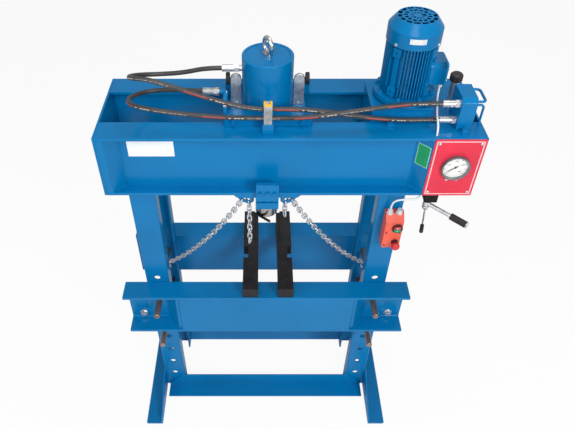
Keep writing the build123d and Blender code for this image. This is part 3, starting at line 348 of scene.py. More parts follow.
plates_low, plates_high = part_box("bed_web_plates")
plate_width = 0.118
plate_cut_share = 0.3
plate_cut = plate_width * plate_cut_share
heavy_weld_share = 1.2
heavy_weld = weld_radius * heavy_weld_share
plate_face = plates_low.y
bed_web_face = -0.146
shape = bmesh.new()
plate_inner = plates_high.x - plate_width
seam_y = bed_web_face - bead_out
inner_high = Vector((plate_inner - bead_out, seam_y, plates_high.z))
inner_low = Vector((plate_inner - bead_out, seam_y, plates_low.z + plate_cut))
foot_in = Vector((plate_inner + plate_cut, seam_y, plates_low.z - bead_out))
foot_out = Vector((plates_high.x, seam_y, plates_low.z - bead_out))
outer_low = Vector((plates_high.x + bead_out, seam_y, plates_low.z))
outer_high = Vector((plates_high.x + bead_out, seam_y, plates_high.z))
for run in ([inner_high, inner_low], [inner_low, foot_in], [foot_in, foot_out], [outer_low, outer_high]):
    for start, end in four_corners(run):
        weld_run(shape, start, end, heavy_weld)
bed_welds = new_piece("bed_welds", shape, blue_enamel)
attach(bed_welds, "frame")

# Bed front cover: one bent sheet welded between the front channel's flanges, flush with their edges, its
# ends folded back to the web short of the pins.
cover_half = 0.376
cover_fold = 0.057
cover_thick = 0.006
cover_sink = 0.0006
fold_bend = 0.010
same_place = 0.0001
bed_low, bed_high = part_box("front_bed_channel")
cover_front = bed_low.y + cover_sink
cover_foot = bed_low.z + flange_thick
cover_head = bed_high.z - flange_thick
outer_plan = [(-cover_half - cover_fold, plate_face), (-cover_half, cover_front), (cover_half, cover_front),
              (cover_half + cover_fold, plate_face)]
inner_plan = [(x - math.copysign(cover_thick, x), y + cover_thick if y == cover_front else y)
              for x, y in outer_plan]


def closed_strip(shape, rows):
    """Walls from each row of four corners to the next, and a face over both ends."""
    for row, following in zip(rows, rows[1:]):
        for k in range(4):
            n = (k + 1) % 4
            shape.faces.new((row[k], row[n], following[n], following[k]))
    shape.faces.new(rows[0])
    shape.faces.new(rows[-1])


shape = bmesh.new()
rows = []
for (ox, oy), (ix, iy) in zip(outer_plan, inner_plan):
    corners = ((ox, oy, cover_foot), (ox, oy, cover_head), (ix, iy, cover_head), (ix, iy, cover_foot))
    rows.append([shape.verts.new((middle_x + x, y, z)) for x, y, z in corners])
closed_strip(shape, rows)
folds = []
for edge in shape.edges:
    one, other = edge.verts
    at_fold = all(abs(abs(v.co.x - middle_x) - cover_half) < same_place for v in (one, other))
    if at_fold and abs(one.co.z - other.co.z) > same_place:
        folds.append(edge)
bmesh.ops.bevel(shape, geom=folds, offset=fold_bend, segments=4, affect="EDGES")
bed_cover = new_piece("bed_front_cover", shape, blue_enamel, sharp=30)
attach(bed_cover, "frame")
shape = bmesh.new()
for side in (-1, 1):
    outer = Vector((middle_x + side * (cover_half + cover_fold), plate_face, 0))
    inner = Vector((middle_x + side * cover_half, cover_front, 0))
    foot = Vector((0, 0, cover_foot))
    head = Vector((0, 0, cover_head))
    seams = ((outer + foot, inner + foot), (outer + head, inner + head), (outer + foot, outer + head))
    for start, end in seams:
        weld_run(shape, start, end, heavy_weld)
cover_welds = new_piece("bed_cover_welds", shape, blue_enamel)
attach(cover_welds, "frame")

# Bed tie bolts: zinc-plated hexagon bolts on flat washers, one through the web near each end of both
# channels, drawn up to hold the channels together.
bed_bolt_from_middle = 0.546
bed_bolt_level = 0.628
shape = bmesh.new()
bolt_place = Vector((middle_x + bed_bolt_from_middle, bed_web_face, bed_bolt_level))
for (spot,) in four_corners([bolt_place]):
    side = -1 if spot.y < 0 else 1
    hexagon_bolt(shape, spot, (0, side, 0), bolt_across, bolt_head, washer_across, washer_thick)
bed_bolts = new_piece("bed_bolts", shape, bright_zinc)
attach(bed_bolts, "frame")


# Bed pins: four round bars of bright drawn steel, chamfered at both ends, pushed through the uprights
# so that the bed stands on them. Use has browned and scuffed them along their length.
pin_brown = (136, 118, 110)
drawn_steel = finish("drawn_steel", pin_brown, 0.32, metal=0.55, drift=0.2, patch=0.02, grain=0.0004,
                     relief=0.12, stretch=(1.0, 0.25, 1.0))
dress(drawn_steel, "bed_pins", edge=0.0004)


# Press bars: two heavy steel bars, cut with notches and a step and still black with mill scale. They lie
# loose across the bed's flanges and carry the work.
scale_black = (33, 31, 33)
mill_scale = finish("mill_scale", scale_black, 0.5, metal=0.35, gloss=0.4, drift=0.3, patch=0.045,
                    grain=0.0009, relief=0.18)
dress(mill_scale, "press_bars", edge=0.0015)


# Carriage: a flame-cut saddle on the beam and a keel plate below it, joined by the cylinder, with guide
# blocks screwed on in front and short arms that carry two rubber-tyred rollers.
dress(blue_enamel, "saddle_block", "keel_plate", "guide_blocks", "hose_post", edge=painted_edge)
dress(bright_zinc, "carriage_arms", edge=painted_edge)
dress(blue_enamel, "carriage_bolts", edge=0.0005)
tyre_black = (28, 27, 29)
tyre_rubber = finish("tyre_rubber", tyre_black, 0.6, gloss=0.3, drift=0.15, patch=0.02, relief=0.15)
dress(tyre_rubber, "arm_rollers", edge=0.0012)


# Cylinder: a thick tube with a sunk cap, enamelled with the frame, its bright gland hidden below and a
# forged zinc-plated eye bolt screwed into the cap for lifting.
dress(blue_enamel, "cylinder_barrel", "cylinder_cap", edge=0.001)
dress(bright_zinc, "cylinder_gland")
forged_zinc = finish("forged_zinc", (196, 198, 202), 0.22, metal=1.0, drift=0.12, patch=0.015,
                     grain=0.0006, relief=0.1)
dress(forged_zinc, "eye_bolt")


# Ram: one turned and ground steel rod with its piston, hard-chromed so that it slides in the gland, and a
# blackened latch bar set beside its nose.
chrome_grey = (168, 164, 160)
hard_chrome = finish("hard_chrome", chrome_grey, 0.2, metal=1.0, drift=0.05, patch=0.03, grain=0.0002,
                     relief=0.03, stretch=(1.0, 1.0, 6.0))
dress(hard_chrome, "ram", edge=0.0006)
black_oxide = finish("black_oxide", (24, 24, 26), 0.42, metal=0.6, gloss=0.4, drift=0.2, patch=0.03)
dress(black_oxide, "nose_latch", edge=0.0008)


# Lifting chains: zinc-plated round-wire links, welded one through the next, that hang from the carriage's
# hooks to a ring on each upper bed pin.
wire = 0.006
wire_sides = 8
bend_steps = 7
link_width = 0.010
link_slack = 0.0008
link_sag = 0.048
link_count = 29
run_steps = 400
hook_from_middle = 0.085
hook_front = -0.150
hook_level = 1.3227
hook_inset = 0.00846
ring_bore = 0.042
ring_rim = 0.007
ring_slack = 0.0024
ring_seat = wire / 27
ring_back = 0.040
ring_steps = 28
pin_across = 0.026
pins_low, pins_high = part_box("bed_pins")
pin_level = pins_high.z - pin_across / 2
pin_from_middle = (pins_high.x - pins_low.x) / 2 - pin_across / 2
down = Vector((0, 0, -1))


def chain_link(shape, middle, heading, normal, pitch):
    """One round-wire link: two straights and two half turns, swept with the wire."""
    bend = (link_width + wire) / 2
    straight = (pitch + link_slack - link_width) / 2
    aside = normal.cross(heading).normalized()
    line = []
    for end, first in ((1, -90), (-1, 90)):
        for k in range(bend_steps + 1):
            a = math.radians(first + 180 * k / bend_steps)
            reach = end * straight + bend * math.cos(a)
            line.append(middle + heading * reach + aside * (bend * math.sin(a)))
    tube(shape, line, [wire / 2] * len(line), wire_sides, normal, closed=True)


def lifting_chain(shape, side):
    """A ring on the bed pin and the sagging run of links from the hook to it; side is 1 at the right."""
    hole = Vector((hook_from_middle, hook_front, hook_level))
    pin = Vector((pin_from_middle, ring_back, pin_level))
    level_run = Vector((pin.x - hole.x, pin.y - hole.y, 0)).normalized()
    across = level_run.cross(Vector((0, 0, 1)))
    dip = down * 4 * link_sag
    rise = (hole - pin + dip).normalized()
    fall = (pin - hole + dip).normalized()
    ring_middle = pin + rise * ((ring_bore - pin_across) / 2 - ring_slack)
    start = hole + fall * hook_inset
    end = ring_middle + rise * (ring_bore / 2 - ring_seat)
    mirror = Matrix.Diagonal((side, 1, 1))
    place = Vector((middle_x, 0, 0))
    shares = [i / run_steps for i in range(run_steps + 1)]
    line = [start + (end - start) * share + dip * share * (1 - share) for share in shares]
    reach = [0.0]
    for a, b in zip(line, line[1:]):
        reach.append(reach[-1] + (b - a).length)
    pitch = reach[-1] / link_count
    for i in range(link_count):
        step = next(k for k, r in enumerate(reach) if r >= (i + 0.5) * pitch)
        heading = (line[step] - line[step - 1]).normalized()
        normal = heading.cross(across) if i % 2 == 0 else across
        chain_link(shape, mirror @ line[step] + place, mirror @ heading, mirror @ normal, pitch)
    turns = [2 * math.pi * k / ring_steps for k in range(ring_steps)]
    spokes = [level_run * math.cos(a) + down * math.sin(a) for a in turns]
    ring_line = [mirror @ (ring_middle + spoke * (ring_bore + ring_rim) / 2) + place for spoke in spokes]
    tube(shape, ring_line, [ring_rim / 2] * ring_steps, wire_sides, mirror @ across, closed=True)
    return mirror @ start + place, mirror @ end + place


for side, node in ((-1, "left_lifting_chain"), (1, "right_lifting_chain")):
    shape = bmesh.new()
    chain_top, chain_foot = lifting_chain(shape, side)
    chain = new_piece("round_" + node, shape, bright_zinc, sharp=80)
    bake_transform(chain)
    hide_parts(node)


# Chain tails: the loose ends of the lifting chains, of the same zinc-plated links, left over beyond the
# hooks and hanging straight down beside them.
tail_counts = ((-1, 9), (1, 3))
tail_lie = Vector((0.8925, 0.4510, 0))
tail_pitch = 0.024
hook_tail_shift = 0.022
hook_hole = Vector((hook_from_middle, hook_front, hook_level))
tail_top = hook_hole - tail_lie * hook_tail_shift + down * hook_inset
place = Vector((middle_x, 0, 0))
shape = bmesh.new()
for side, count in tail_counts:
    mirror = Matrix.Diagonal((side, 1, 1))
    for i in range(count):
        middle = tail_top + down * tail_pitch * (i + 0.5)
        normal = tail_lie if i % 2 == 0 else tail_lie.cross(down)
        chain_link(shape, mirror @ middle + place, down, mirror @ normal, tail_pitch)
round_tails = new_piece("round_chain_tails", shape, bright_zinc, sharp=80)
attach(round_tails, "carriage")
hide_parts("chain_tails")


# Oil tank, lid and bell housing: folded and welded sheet hung between the girders, a plate lid on top and
# a cast ring that carries the motor, all under the frame's enamel.
dress(blue_enamel, "oil_tank", "tank_lid", edge=0.0015)
dress(blue_enamel, "bell_housing", edge=0.0008)


# Electric motor: a die-cast aluminium body with cooling fins, flanged to the bell by a ring of bolts, a
# pressed steel cover over its plastic fan, and a cast terminal box on its right side.
dress(blue_enamel, "motor_body", edge=0.0006)
dress(blue_enamel, "fan_cover", edge=0.0005)
dress(blue_enamel, "terminal_box", edge=0.0012)
fan_plastic = finish("fan_plastic", (26, 27, 29), 0.5, gloss=0.4, drift=0.12, patch=0.03)
dress(fan_plastic, "motor_fan", edge=0.0005)
fan_cover_low, fan_cover_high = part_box("fan_cover")
fan_cover_radius = (fan_cover_high.x - fan_cover_low.x) / 2
bell_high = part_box("bell_housing")[1]
motor_x = (fan_cover_low.x + fan_cover_high.x) / 2
motor_flange_thick = 0.012
flange_top = bell_high.z + motor_flange_thick
flange_bolt_turns = (22, 68, 112, 158, 202, 248, 292, 338)
flange_bolt_ring = 0.0935
flange_bolt_across = 0.013
flange_bolt_head = 0.008
flange_washer = 0.018
flange_washer_thick = 0.002
cover_screw_turns = (40, 140, 220, 320)
cover_screw_rise = 0.007
cover_screw_across = 0.008
cover_screw_head = 0.004
cover_washer = 0.012
cover_washer_thick = 0.001
shape = bmesh.new()
for turn in flange_bolt_turns:
    a = math.radians(turn)
    spot = Vector((motor_x + flange_bolt_ring * math.cos(a), flange_bolt_ring * math.sin(a), flange_top))
    hexagon_bolt(shape, spot, (0, 0, 1), flange_bolt_across, flange_bolt_head, flange_washer,
                 flange_washer_thick)
flange_bolts = new_piece("motor_flange_bolts", shape, blue_enamel)
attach(flange_bolts, "frame")
shape = bmesh.new()
for turn in cover_screw_turns:
    outward = Vector((math.cos(math.radians(turn)), math.sin(math.radians(turn)), 0))
    spot = Vector((motor_x, 0, fan_cover_low.z + cover_screw_rise)) + outward * fan_cover_radius
    hexagon_bolt(shape, spot, outward, cover_screw_across, cover_screw_head, cover_washer,
                 cover_washer_thick)
cover_screws = new_piece("fan_cover_screws", shape, bright_zinc)
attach(cover_screws, "frame")

# Terminal box screws: four small turned screws with eased heads, zinc-plated, driven through the corners
# of the lid to hold it on the box.
box_low, box_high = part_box("terminal_box")
lid_screw_radius = 0.0042
lid_screw_inset = 0.011
lid_screw_sink = 0.0002
lid_screw_rim = 0.002
lid_screw_head = 0.003
lid_screw_crown_share = 0.7
lid_screw_line = [(0, 0), (lid_screw_radius, 0), (lid_screw_radius, lid_screw_rim),
                  (lid_screw_radius * lid_screw_crown_share, lid_screw_head), (0, lid_screw_head)]
shape = bmesh.new()
for y in (box_low.y + lid_screw_inset, box_high.y - lid_screw_inset):
    for z in (box_low.z + lid_screw_inset, box_high.z - lid_screw_inset * 2):
        turned(shape, (box_high.x - lid_screw_sink, y, z), (1, 0, 0), lid_screw_line, sides=16)
lid_screws = new_piece("terminal_lid_screws", shape, bright_zinc)
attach(lid_screws, "frame")

# Motor plate: a thin plain plate of bright aluminium, rolled to the fan cover's curve and stuck round the
# front of it.
plate_level = 1.9005
plate_tall = 0.017
plate_middle_turn = -94
plate_half_turn = 17.0
plate_steps = 12
plate_lift = 0.0007
plate_corners = ((plate_lift, -1), (plate_lift, 1), (-plate_lift, 1), (-plate_lift, -1))
plate_silver = finish("plate_silver", (226, 230, 232), 0.4, metal=0.3, drift=0.04, patch=0.01)
shape = bmesh.new()
rows = []
for i in range(plate_steps + 1):
    a = math.radians(plate_middle_turn + plate_half_turn * (2 * i / plate_steps - 1))
    out = Vector((math.cos(a), math.sin(a), 0))
    spots = [Vector((motor_x, 0, plate_level + plate_tall / 2 * side)) + out * (fan_cover_radius + lift)
             for lift, side in plate_corners]
    rows.append([shape.verts.new(spot) for spot in spots])
closed_strip(shape, rows)
motor_plate = new_piece("motor_plate", shape, plate_silver)
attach(motor_plate, "frame")


# Valve block and pump fittings: a drilled steel block on the deck, enamelled, with plated hose ends and
# pipes screwed in. The guard is one bent bar and the thin pipe goes down to the gauge.
dress(blue_enamel, "valve_block", edge=0.002)
dress(bright_zinc, "pump_fittings", edge=0.0005)
dress(blue_enamel, "valve_pipes")
block_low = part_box("valve_block")[0]
hold_down_across = 0.022
hold_down_washer = 0.036
hold_down_places = ((middle_x + 0.409, -0.122), (middle_x + 0.648, block_low.y - hold_down_washer / 2))
shape = bmesh.new()
for x, y in hold_down_places:
    hexagon_bolt(shape, (x, y, beam_high.z), (0, 0, 1), hold_down_across, bolt_head, hold_down_washer,
                 washer_thick)
unit_bolts = new_piece("power_unit_bolts", shape, blue_enamel)
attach(unit_bolts, "frame")

# Breather: a zinc-plated neck screwed into the deck, under a cap moulded in black plastic with fine ribs
# round its rim for the fingers.
breather_low, breather_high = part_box("filler_breather")
breather_x = (breather_low.x + breather_high.x) / 2
breather_y = (breather_low.y + breather_high.y) / 2
breather_radius = (breather_high.x - breather_low.x) / 2
breather_cap = 0.028
neck_radius = 0.014
cap_ease = 0.002
cap_crown = 0.005
cap_shoulder_in = 0.004
cap_shoulder_drop = 0.0008
cap_flat_in = 0.008
rib_count = 24
rib_foot = 0.003
rib_radius = 0.0009
rib_point = 0.001
rib_tall = breather_cap - 0.009
cap_black = finish("cap_black", (44, 41, 40), 0.45, gloss=0.4, drift=0.12, patch=0.015)
shape = bmesh.new()
cap_foot = breather_high.z - breather_cap
neck_tall = cap_foot - breather_low.z
neck_line = [(0, 0), (neck_radius, 0), (neck_radius, neck_tall)]
turned(shape, (breather_x, breather_y, breather_low.z), (0, 0, 1), neck_line)
cap_line = [(0, 0), (breather_radius - cap_ease, 0), (breather_radius, cap_ease),
            (breather_radius, breather_cap - cap_crown),
            (breather_radius - cap_shoulder_in, breather_cap - cap_shoulder_drop),
            (breather_radius - cap_flat_in, breather_cap), (0, breather_cap)]
turned(shape, (breather_x, breather_y, cap_foot), (0, 0, 1), cap_line, sides=48, material=1)
rib_line = [(0, 0), (rib_radius, rib_point), (rib_radius, rib_tall - rib_point), (0, rib_tall)]
for k in range(rib_count):
    a = 2 * math.pi * k / rib_count
    rib_x = breather_x + breather_radius * math.cos(a)
    rib_y = breather_y + breather_radius * math.sin(a)
    turned(shape, (rib_x, rib_y, cap_foot + rib_foot), (0, 0, 1), rib_line, sides=6, material=1)
breather = new_piece("breather", shape, bright_zinc, cap_black)
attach(breather, "frame")
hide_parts("filler_breather")


# Hose ends at the carriage: crimped, plated ferrules and nuts, with an enamelled pipe bend from the lower
# nut down to the saddle.
dress(bright_zinc, "port_fittings", edge=0.0005)
elbow_x = middle_x - 0.1415
elbow_radius = 0.0082
elbow_line = [
    (elbow_x - 0.018, -0.034, 1.6979), (elbow_x - 0.010, -0.036, 1.6986),
    (elbow_x - 0.0022, -0.0415, 1.6988), (elbow_x + 0.0002, -0.050, 1.6977),
    (elbow_x + 0.0002, -0.088, 1.6918), (elbow_x + 0.0002, -0.0965, 1.6882),
    (elbow_x + 0.0002, -0.1005, 1.680), (elbow_x + 0.0002, -0.101, 1.6566)]
shape = bmesh.new()
tube(shape, [Vector(p) for p in elbow_line], [elbow_radius] * len(elbow_line), 20, Vector((1, 0, 0.3)))
blue_elbow = new_piece("lower_pipe_bend", shape, blue_enamel, sharp=70)
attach(blue_elbow, "carriage")


# Hoses: two wire-braided hydraulic hoses with a smooth black rubber cover and a broken printed stripe. They
# loop round behind the cylinder, pass through the clamp and run on to the pump.
hose_across = 0.0155
hose_black = (58, 56, 57)
hose_route_upper = [
    (-0.152, 0.0, 1.766), (-0.205, 0.0, 1.766), (-0.285, 0.015, 1.740), (-0.372, 0.028, 1.727),
    (-0.428, -0.005, 1.744), (-0.452, -0.063, 1.771), (-0.430, -0.121, 1.798), (-0.375, -0.156, 1.816),
    (-0.292, -0.162, 1.791), (-0.205, -0.158, 1.755), (-0.118, -0.152, 1.722), (-0.040, -0.152, 1.705),
    (0.045, -0.152, 1.705), (0.110, -0.143, 1.698), (0.190, -0.138, 1.685), (0.285, -0.138, 1.669),
    (0.375, -0.136, 1.656), (0.455, -0.128, 1.647), (0.520, -0.120, 1.643), (0.566, -0.120, 1.643)]
hose_route_lower = [
    (-0.2169, -0.0214, 1.6921), (-0.2713, -0.0095, 1.6867), (-0.335, 0.010, 1.677), (-0.395, 0.014, 1.672),
    (-0.444, -0.020, 1.680), (-0.464, -0.077, 1.694), (-0.445, -0.131, 1.708), (-0.396, -0.165, 1.716),
    (-0.310, -0.168, 1.702), (-0.220, -0.161, 1.686), (-0.130, -0.154, 1.674), (-0.040, -0.152, 1.671),
    (0.045, -0.152, 1.671), (0.110, -0.161, 1.677), (0.190, -0.163, 1.689), (0.280, -0.156, 1.700),
    (0.370, -0.144, 1.707), (0.450, -0.129, 1.708), (0.510, -0.120, 1.705), (0.566, -0.120, 1.705)]
print_period = 0.30
print_stripes = (
    ((186, 62, 58), (0.185, 0.250), ((0.0, 0.075),)),
    ((206, 202, 198), (0.190, 0.245), ((0.086, 0.093), (0.104, 0.112), (0.115, 0.123), (0.126, 0.134))),
    ((190, 184, 180), (0.205, 0.232), ((0.146, 0.160), (0.163, 0.170), (0.174, 0.190), (0.194, 0.206),
                                       (0.210, 0.218), (0.222, 0.240), (0.244, 0.252))))


def number(tree, operation, first, second=None):
    """One sum on shader values; a plain number goes straight into its socket."""
    node = tree.nodes.new("ShaderNodeMath")
    node.operation = operation
    for socket, value in zip(node.inputs, (first, second)):
        if isinstance(value, (int, float)):
            socket.default_value = value
        elif value is not None:
            tree.links.new(value, socket)
    return node.outputs["Value"]


def between(tree, value, low, high):
    """One where the value lies between low and high, and zero elsewhere."""
    above = number(tree, "GREATER_THAN", value, low)
    below = number(tree, "LESS_THAN", value, high)
    return number(tree, "MULTIPLY", above, below)


def laid_over(tree, shader, mask, paint):
    """Another paint where the mask is one, over the shader's present colour."""
    mix = tree.nodes.new("ShaderNodeMix")
    mix.data_type = "RGBA"
    below = shader.inputs["Base Color"].links[0].from_socket
    tree.links.new(mask, mix.inputs["Factor"])
    tree.links.new(below, mix.inputs["A"])
    mix.inputs["B"].default_value = linear(paint)
    tree.links.new(mix.outputs["Result"], shader.inputs["Base Color"])


def any_of(tree, masks):
    """One where any of the masks is one."""
    total = masks[0]
    for mask in masks[1:]:
        total = number(tree, "MAXIMUM", total, mask)
    return total


hose_rubber = finish("hose_rubber", hose_black, 0.42, gloss=0.45, drift=0.1, patch=0.03, relief=0.08)
tree = hose_rubber.node_tree
rubber = tree.nodes["Principled BSDF"]
wrap = tree.nodes.new("ShaderNodeUVMap")
parts = tree.nodes.new("ShaderNodeSeparateXYZ")
tree.links.new(wrap.outputs["UV"], parts.inputs["Vector"])
along = number(tree, "MODULO", parts.outputs["X"], print_period)
for paint, lane_shares, dashes in print_stripes:
    lane = between(tree, parts.outputs["Y"], *lane_shares)
    bars = any_of(tree, [between(tree, along, low, high) for low, high in dashes])
    laid_over(tree, rubber, number(tree, "MULTIPLY", bars, lane), paint)


def laid_line(name, route, resolution):
    """The points of a smooth line whose control points are the route's."""
    curve = bpy.data.curves.new(name, "CURVE")
    curve.dimensions = "3D"
    curve.resolution_u = resolution
    spline = curve.splines.new("NURBS")
    spline.points.add(len(route) - 1)
    for point, place in zip(spline.points, route):
        point.co = (*place, 1.0)
    spline.order_u = 3
    spline.use_endpoint_u = True
    holder = bpy.data.objects.new(name, curve)
    mesh = bpy.data.meshes.new_from_object(holder)
    line = [vertex.co.copy() for vertex in mesh.vertices]
    bpy.data.objects.remove(holder)
    return line


def hose(name, route, node):
    """One printed hose along its route, laid as one smooth tube in place of the made hose."""
    placed = [(x + middle_x, y, z) for x, y, z in route]
    line = laid_line(name + "_line", placed, 10)
    shape = bmesh.new()
    tube(shape, line, [hose_across / 2] * len(line), 24, Vector((0, 0, 1)))
    piece = new_piece(name, shape, hose_rubber, sharp=70)
    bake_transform(piece)
    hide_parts(node)


hose("printed_upper_hose", hose_route_upper, "upper_hose")
hose("printed_lower_hose", hose_route_lower, "lower_hose")


# Hose clamp: a sawn aluminium block with a hole for each hose, under a yellow-passivated top plate that one
# zinc-plated bolt draws down on the carriage's post.
clamp_alloy = finish("clamp_alloy", (168, 172, 176), 0.38, metal=0.85, drift=0.1, patch=0.015, relief=0.1)
dress(clamp_alloy, "hose_clamp", edge=0.0012)
clamp_low, clamp_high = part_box("hose_clamp")
clamp_plate_thick = 0.004
clamp_plate_skin = 0.0004
clamp_plate_ease = 0.0008
clamp_bolt_across = 0.010
clamp_bolt_head = 0.006
clamp_washer = 0.014
clamp_washer_thick = 0.001
plate_yellow = finish("plate_yellow", (246, 190, 34), 0.35, gloss=0.5, drift=0.06, patch=0.01)
clamp_plate_low = Vector((clamp_low.x - clamp_plate_skin, clamp_low.y - clamp_plate_skin,
                          clamp_high.z - clamp_plate_thick))
clamp_plate_high = Vector((clamp_high.x + clamp_plate_skin, clamp_high.y + clamp_plate_skin,
                           clamp_high.z + clamp_plate_skin))
clamp_plate_middle = (clamp_plate_low + clamp_plate_high) / 2
clamp_plate_size = clamp_plate_high - clamp_plate_low
shape = bmesh.new()
bmesh.ops.create_cube(shape, size=1.0, matrix=Matrix.LocRotScale(clamp_plate_middle, None, clamp_plate_size))
bmesh.ops.bevel(shape, geom=shape.edges[:], offset=clamp_plate_ease, segments=2, affect="EDGES")
clamp_plate = new_piece("clamp_plate", shape, plate_yellow)
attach(clamp_plate, "carriage")
clamp_bolt_seat = (clamp_plate_middle.x, clamp_plate_middle.y, clamp_plate_high.z)
shape = bmesh.new()
hexagon_bolt(shape, clamp_bolt_seat, (0, 0, 1), clamp_bolt_across, clamp_bolt_head, clamp_washer,
             clamp_washer_thick)
clamp_bolt = new_piece("clamp_bolt", shape, bright_zinc)
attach(clamp_bolt, "carriage")


# Control valve and levers: a black valve body bolted under the beam, a plated main lever with a rubber grip
# and end button, and a thin trip lever, both on the valve's spindle.
dress(black_oxide, "control_valve", edge=0.001)
dress(bright_zinc, "main_lever", edge=0.0006)
grip_rubber = finish("grip_rubber", (38, 33, 37), 0.55, gloss=0.35, drift=0.12, patch=0.015, relief=0.12)
dress(grip_rubber, "main_grip", edge=0.001)
dress(bright_zinc, "trip_lever", edge=0.0004)
trip_low, trip_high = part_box("trip_lever")
trip_spindle = Vector((middle_x + 0.580, -0.170, (trip_low.z + trip_high.z) / 2))
trip_turn = math.radians(-108.0)
trip_along = Vector((math.cos(trip_turn), math.sin(trip_turn), 0))
trip_reach = 0.140
trip_grip = 0.0385
trip_radius = 0.0068
trip_rod_radius = 0.0032
trip_end_radius = trip_radius * 0.8
grip_line = [(trip_rod_radius, 0), (trip_end_radius, 0), (trip_radius, 0.004),
             (trip_radius, trip_grip - 0.001), (trip_end_radius, trip_grip + 0.0006),
             (0, trip_grip + 0.0008)]
grip_start = trip_spindle + trip_along * (trip_reach - trip_grip)
shape = bmesh.new()
turned(shape, grip_start, trip_along, grip_line)
trip_sleeve = new_piece("trip_lever_grip", shape, grip_rubber)
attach(trip_sleeve, "trip_lever")


# Gauge panel: a red enamelled sheet with a pale line round its edge, held at its corners by plated screws,
# with the blue corner plate's wall behind it.
panel_red = (222, 44, 70)
line_pink = (250, 190, 192)
line_inset = 0.0065
line_wide = 0.0042
panel_low, panel_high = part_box("gauge_panel")
red_enamel = finish("red_enamel", panel_red, 0.4, gloss=0.4, drift=0.04, patch=0.1)
tree = red_enamel.node_tree
panel_shader = tree.nodes["Principled BSDF"]
spot = tree.nodes.new("ShaderNodeTexCoord")
split = tree.nodes.new("ShaderNodeSeparateXYZ")
tree.links.new(spot.outputs["Generated"], split.inputs["Vector"])
edges = []
for axis, length in (("X", panel_high.x - panel_low.x), ("Z", panel_high.z - panel_low.z)):
    from_edge = number(tree, "MULTIPLY", number(tree, "PINGPONG", split.outputs[axis], 0.5), length)
    edges.append(from_edge)
nearest = number(tree, "MINIMUM", *edges)
laid_over(tree, panel_shader, between(tree, nearest, line_inset, line_inset + line_wide), line_pink)
dress(red_enamel, "gauge_panel", edge=0.0004)
panel_screw = [(0, 0), (0.0052, 0), (0.0052, 0.0012), (0.0042, 0.0026), (0.002, 0.0032), (0, 0.0033)]
screw_inset = 0.017
stud_level = 1.4462
studs = (middle_x + 0.6175, middle_x + 0.6515)
shape = bmesh.new()
for x in (panel_low.x + screw_inset, panel_high.x - screw_inset):
    for z in (panel_low.z + screw_inset, panel_high.z - screw_inset):
        turned(shape, (x, panel_low.y, z), (0, -1, 0), panel_screw, sides=20)
for x in studs:
    turned(shape, (x, panel_low.y, stud_level), (0, -1, 0), panel_screw, sides=20)
panel_screws = new_piece("panel_screws", shape, bright_zinc)
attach(panel_screws, "frame")


# Pressure gauge: a grey-enamelled case with a white printed dial, a black pointer on its spindle and a flat
# glass sprung in behind the rim.
case_grey = finish("case_grey", (112, 118, 122), 0.35, metal=0.5, gloss=0.5, drift=0.08, patch=0.02)
dress(case_grey, "gauge_case", edge=0.0008)
pointer_black = finish("pointer_black", (22, 22, 24), 0.4, gloss=0.4, drift=0.1, patch=0.01)
dress(pointer_black, "gauge_needle")
gauge_low, gauge_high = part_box("gauge_case")
gauge_middle = Vector(((gauge_low.x + gauge_high.x) / 2, 0, (gauge_low.z + gauge_high.z) / 2))
dial_front = -0.196
dial_radius = 0.0435
dial_bore = 0.0022
dial_lift = 0.0002
dial_line = [(dial_bore, 0), (dial_bore, dial_lift), (dial_radius, dial_lift)]
tick_start = 225.0
tick_sweep = 270.0
tick_outer = 0.0405
long_ticks = 8
short_ticks = 40
number_ring = 0.0255
number_tall = 0.0085
number_step = 50
dial_white = finish("dial_white", (240, 240, 236), 0.5, gloss=0.3, drift=0.02, patch=0.02)
dial_ink = finish("dial_ink", (70, 66, 70), 0.5, gloss=0.3, drift=0.05, patch=0.01)
shape = bmesh.new()
turned(shape, gauge_middle + Vector((0, dial_front, 0)), (0, -1, 0), dial_line, sides=64)


def dial_spot(radius, share):
    """A place on the dial, by its radius and its share of the scale, clockwise from the lower left."""
    a = math.radians(tick_start - tick_sweep * share)
    return gauge_middle + Vector((radius * math.cos(a), dial_front - 2 * dial_lift, radius * math.sin(a)))


for count, inner, wide in ((long_ticks, 0.033, 0.0010), (short_ticks, 0.0365, 0.0005)):
    for i in range(count + 1):
        near = dial_spot(inner, i / count)
        far = dial_spot(tick_outer, i / count)
        aside = (far - near).cross(Vector((0, 1, 0))).normalized() * wide
        corners = (near - aside, near + aside, far + aside, far - aside)
        face = shape.faces.new([shape.verts.new(corner) for corner in corners])
        face.material_index = 1
upright = Matrix.Rotation(math.radians(90), 4, "X")
for i in range(0, long_ticks + 1, 2):
    text = bpy.data.curves.new("dial_number", "FONT")
    text.body = str(i * number_step)
    text.size = number_tall
    text.align_x = "CENTER"
    text.align_y = "CENTER"
    holder = bpy.data.objects.new("dial_number", text)
    digits = bpy.data.meshes.new_from_object(holder)
    bpy.data.objects.remove(holder)
    digits.transform(Matrix.Translation(dial_spot(number_ring, i / long_ticks)) @ upright)
    known = len(shape.faces)
    shape.from_mesh(digits)
    shape.faces.ensure_lookup_table()
    for face in shape.faces[known:]:
        face.material_index = 1
dial_print = new_piece("dial_print", shape, dial_white, dial_ink)
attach(dial_print, "frame")
pane_tint = (0.9, 0.94, 0.95, 1.0)
pane_smear = 0.02
pane_edge_blend = 0.15
gauge_pane = bpy.data.materials.new("gauge_pane")
gauge_pane.use_nodes = True
tree = gauge_pane.node_tree
clear = tree.nodes.new("ShaderNodeBsdfTransparent")
sheen = tree.nodes["Principled BSDF"]
sheen.inputs["Base Color"].default_value = pane_tint
smears = cloud(tree, tree.nodes.new("ShaderNodeTexCoord").outputs["Object"], pane_smear, 3.0)
tree.links.new(spread(tree, smears, 0.03, 0.09), sheen.inputs["Roughness"])
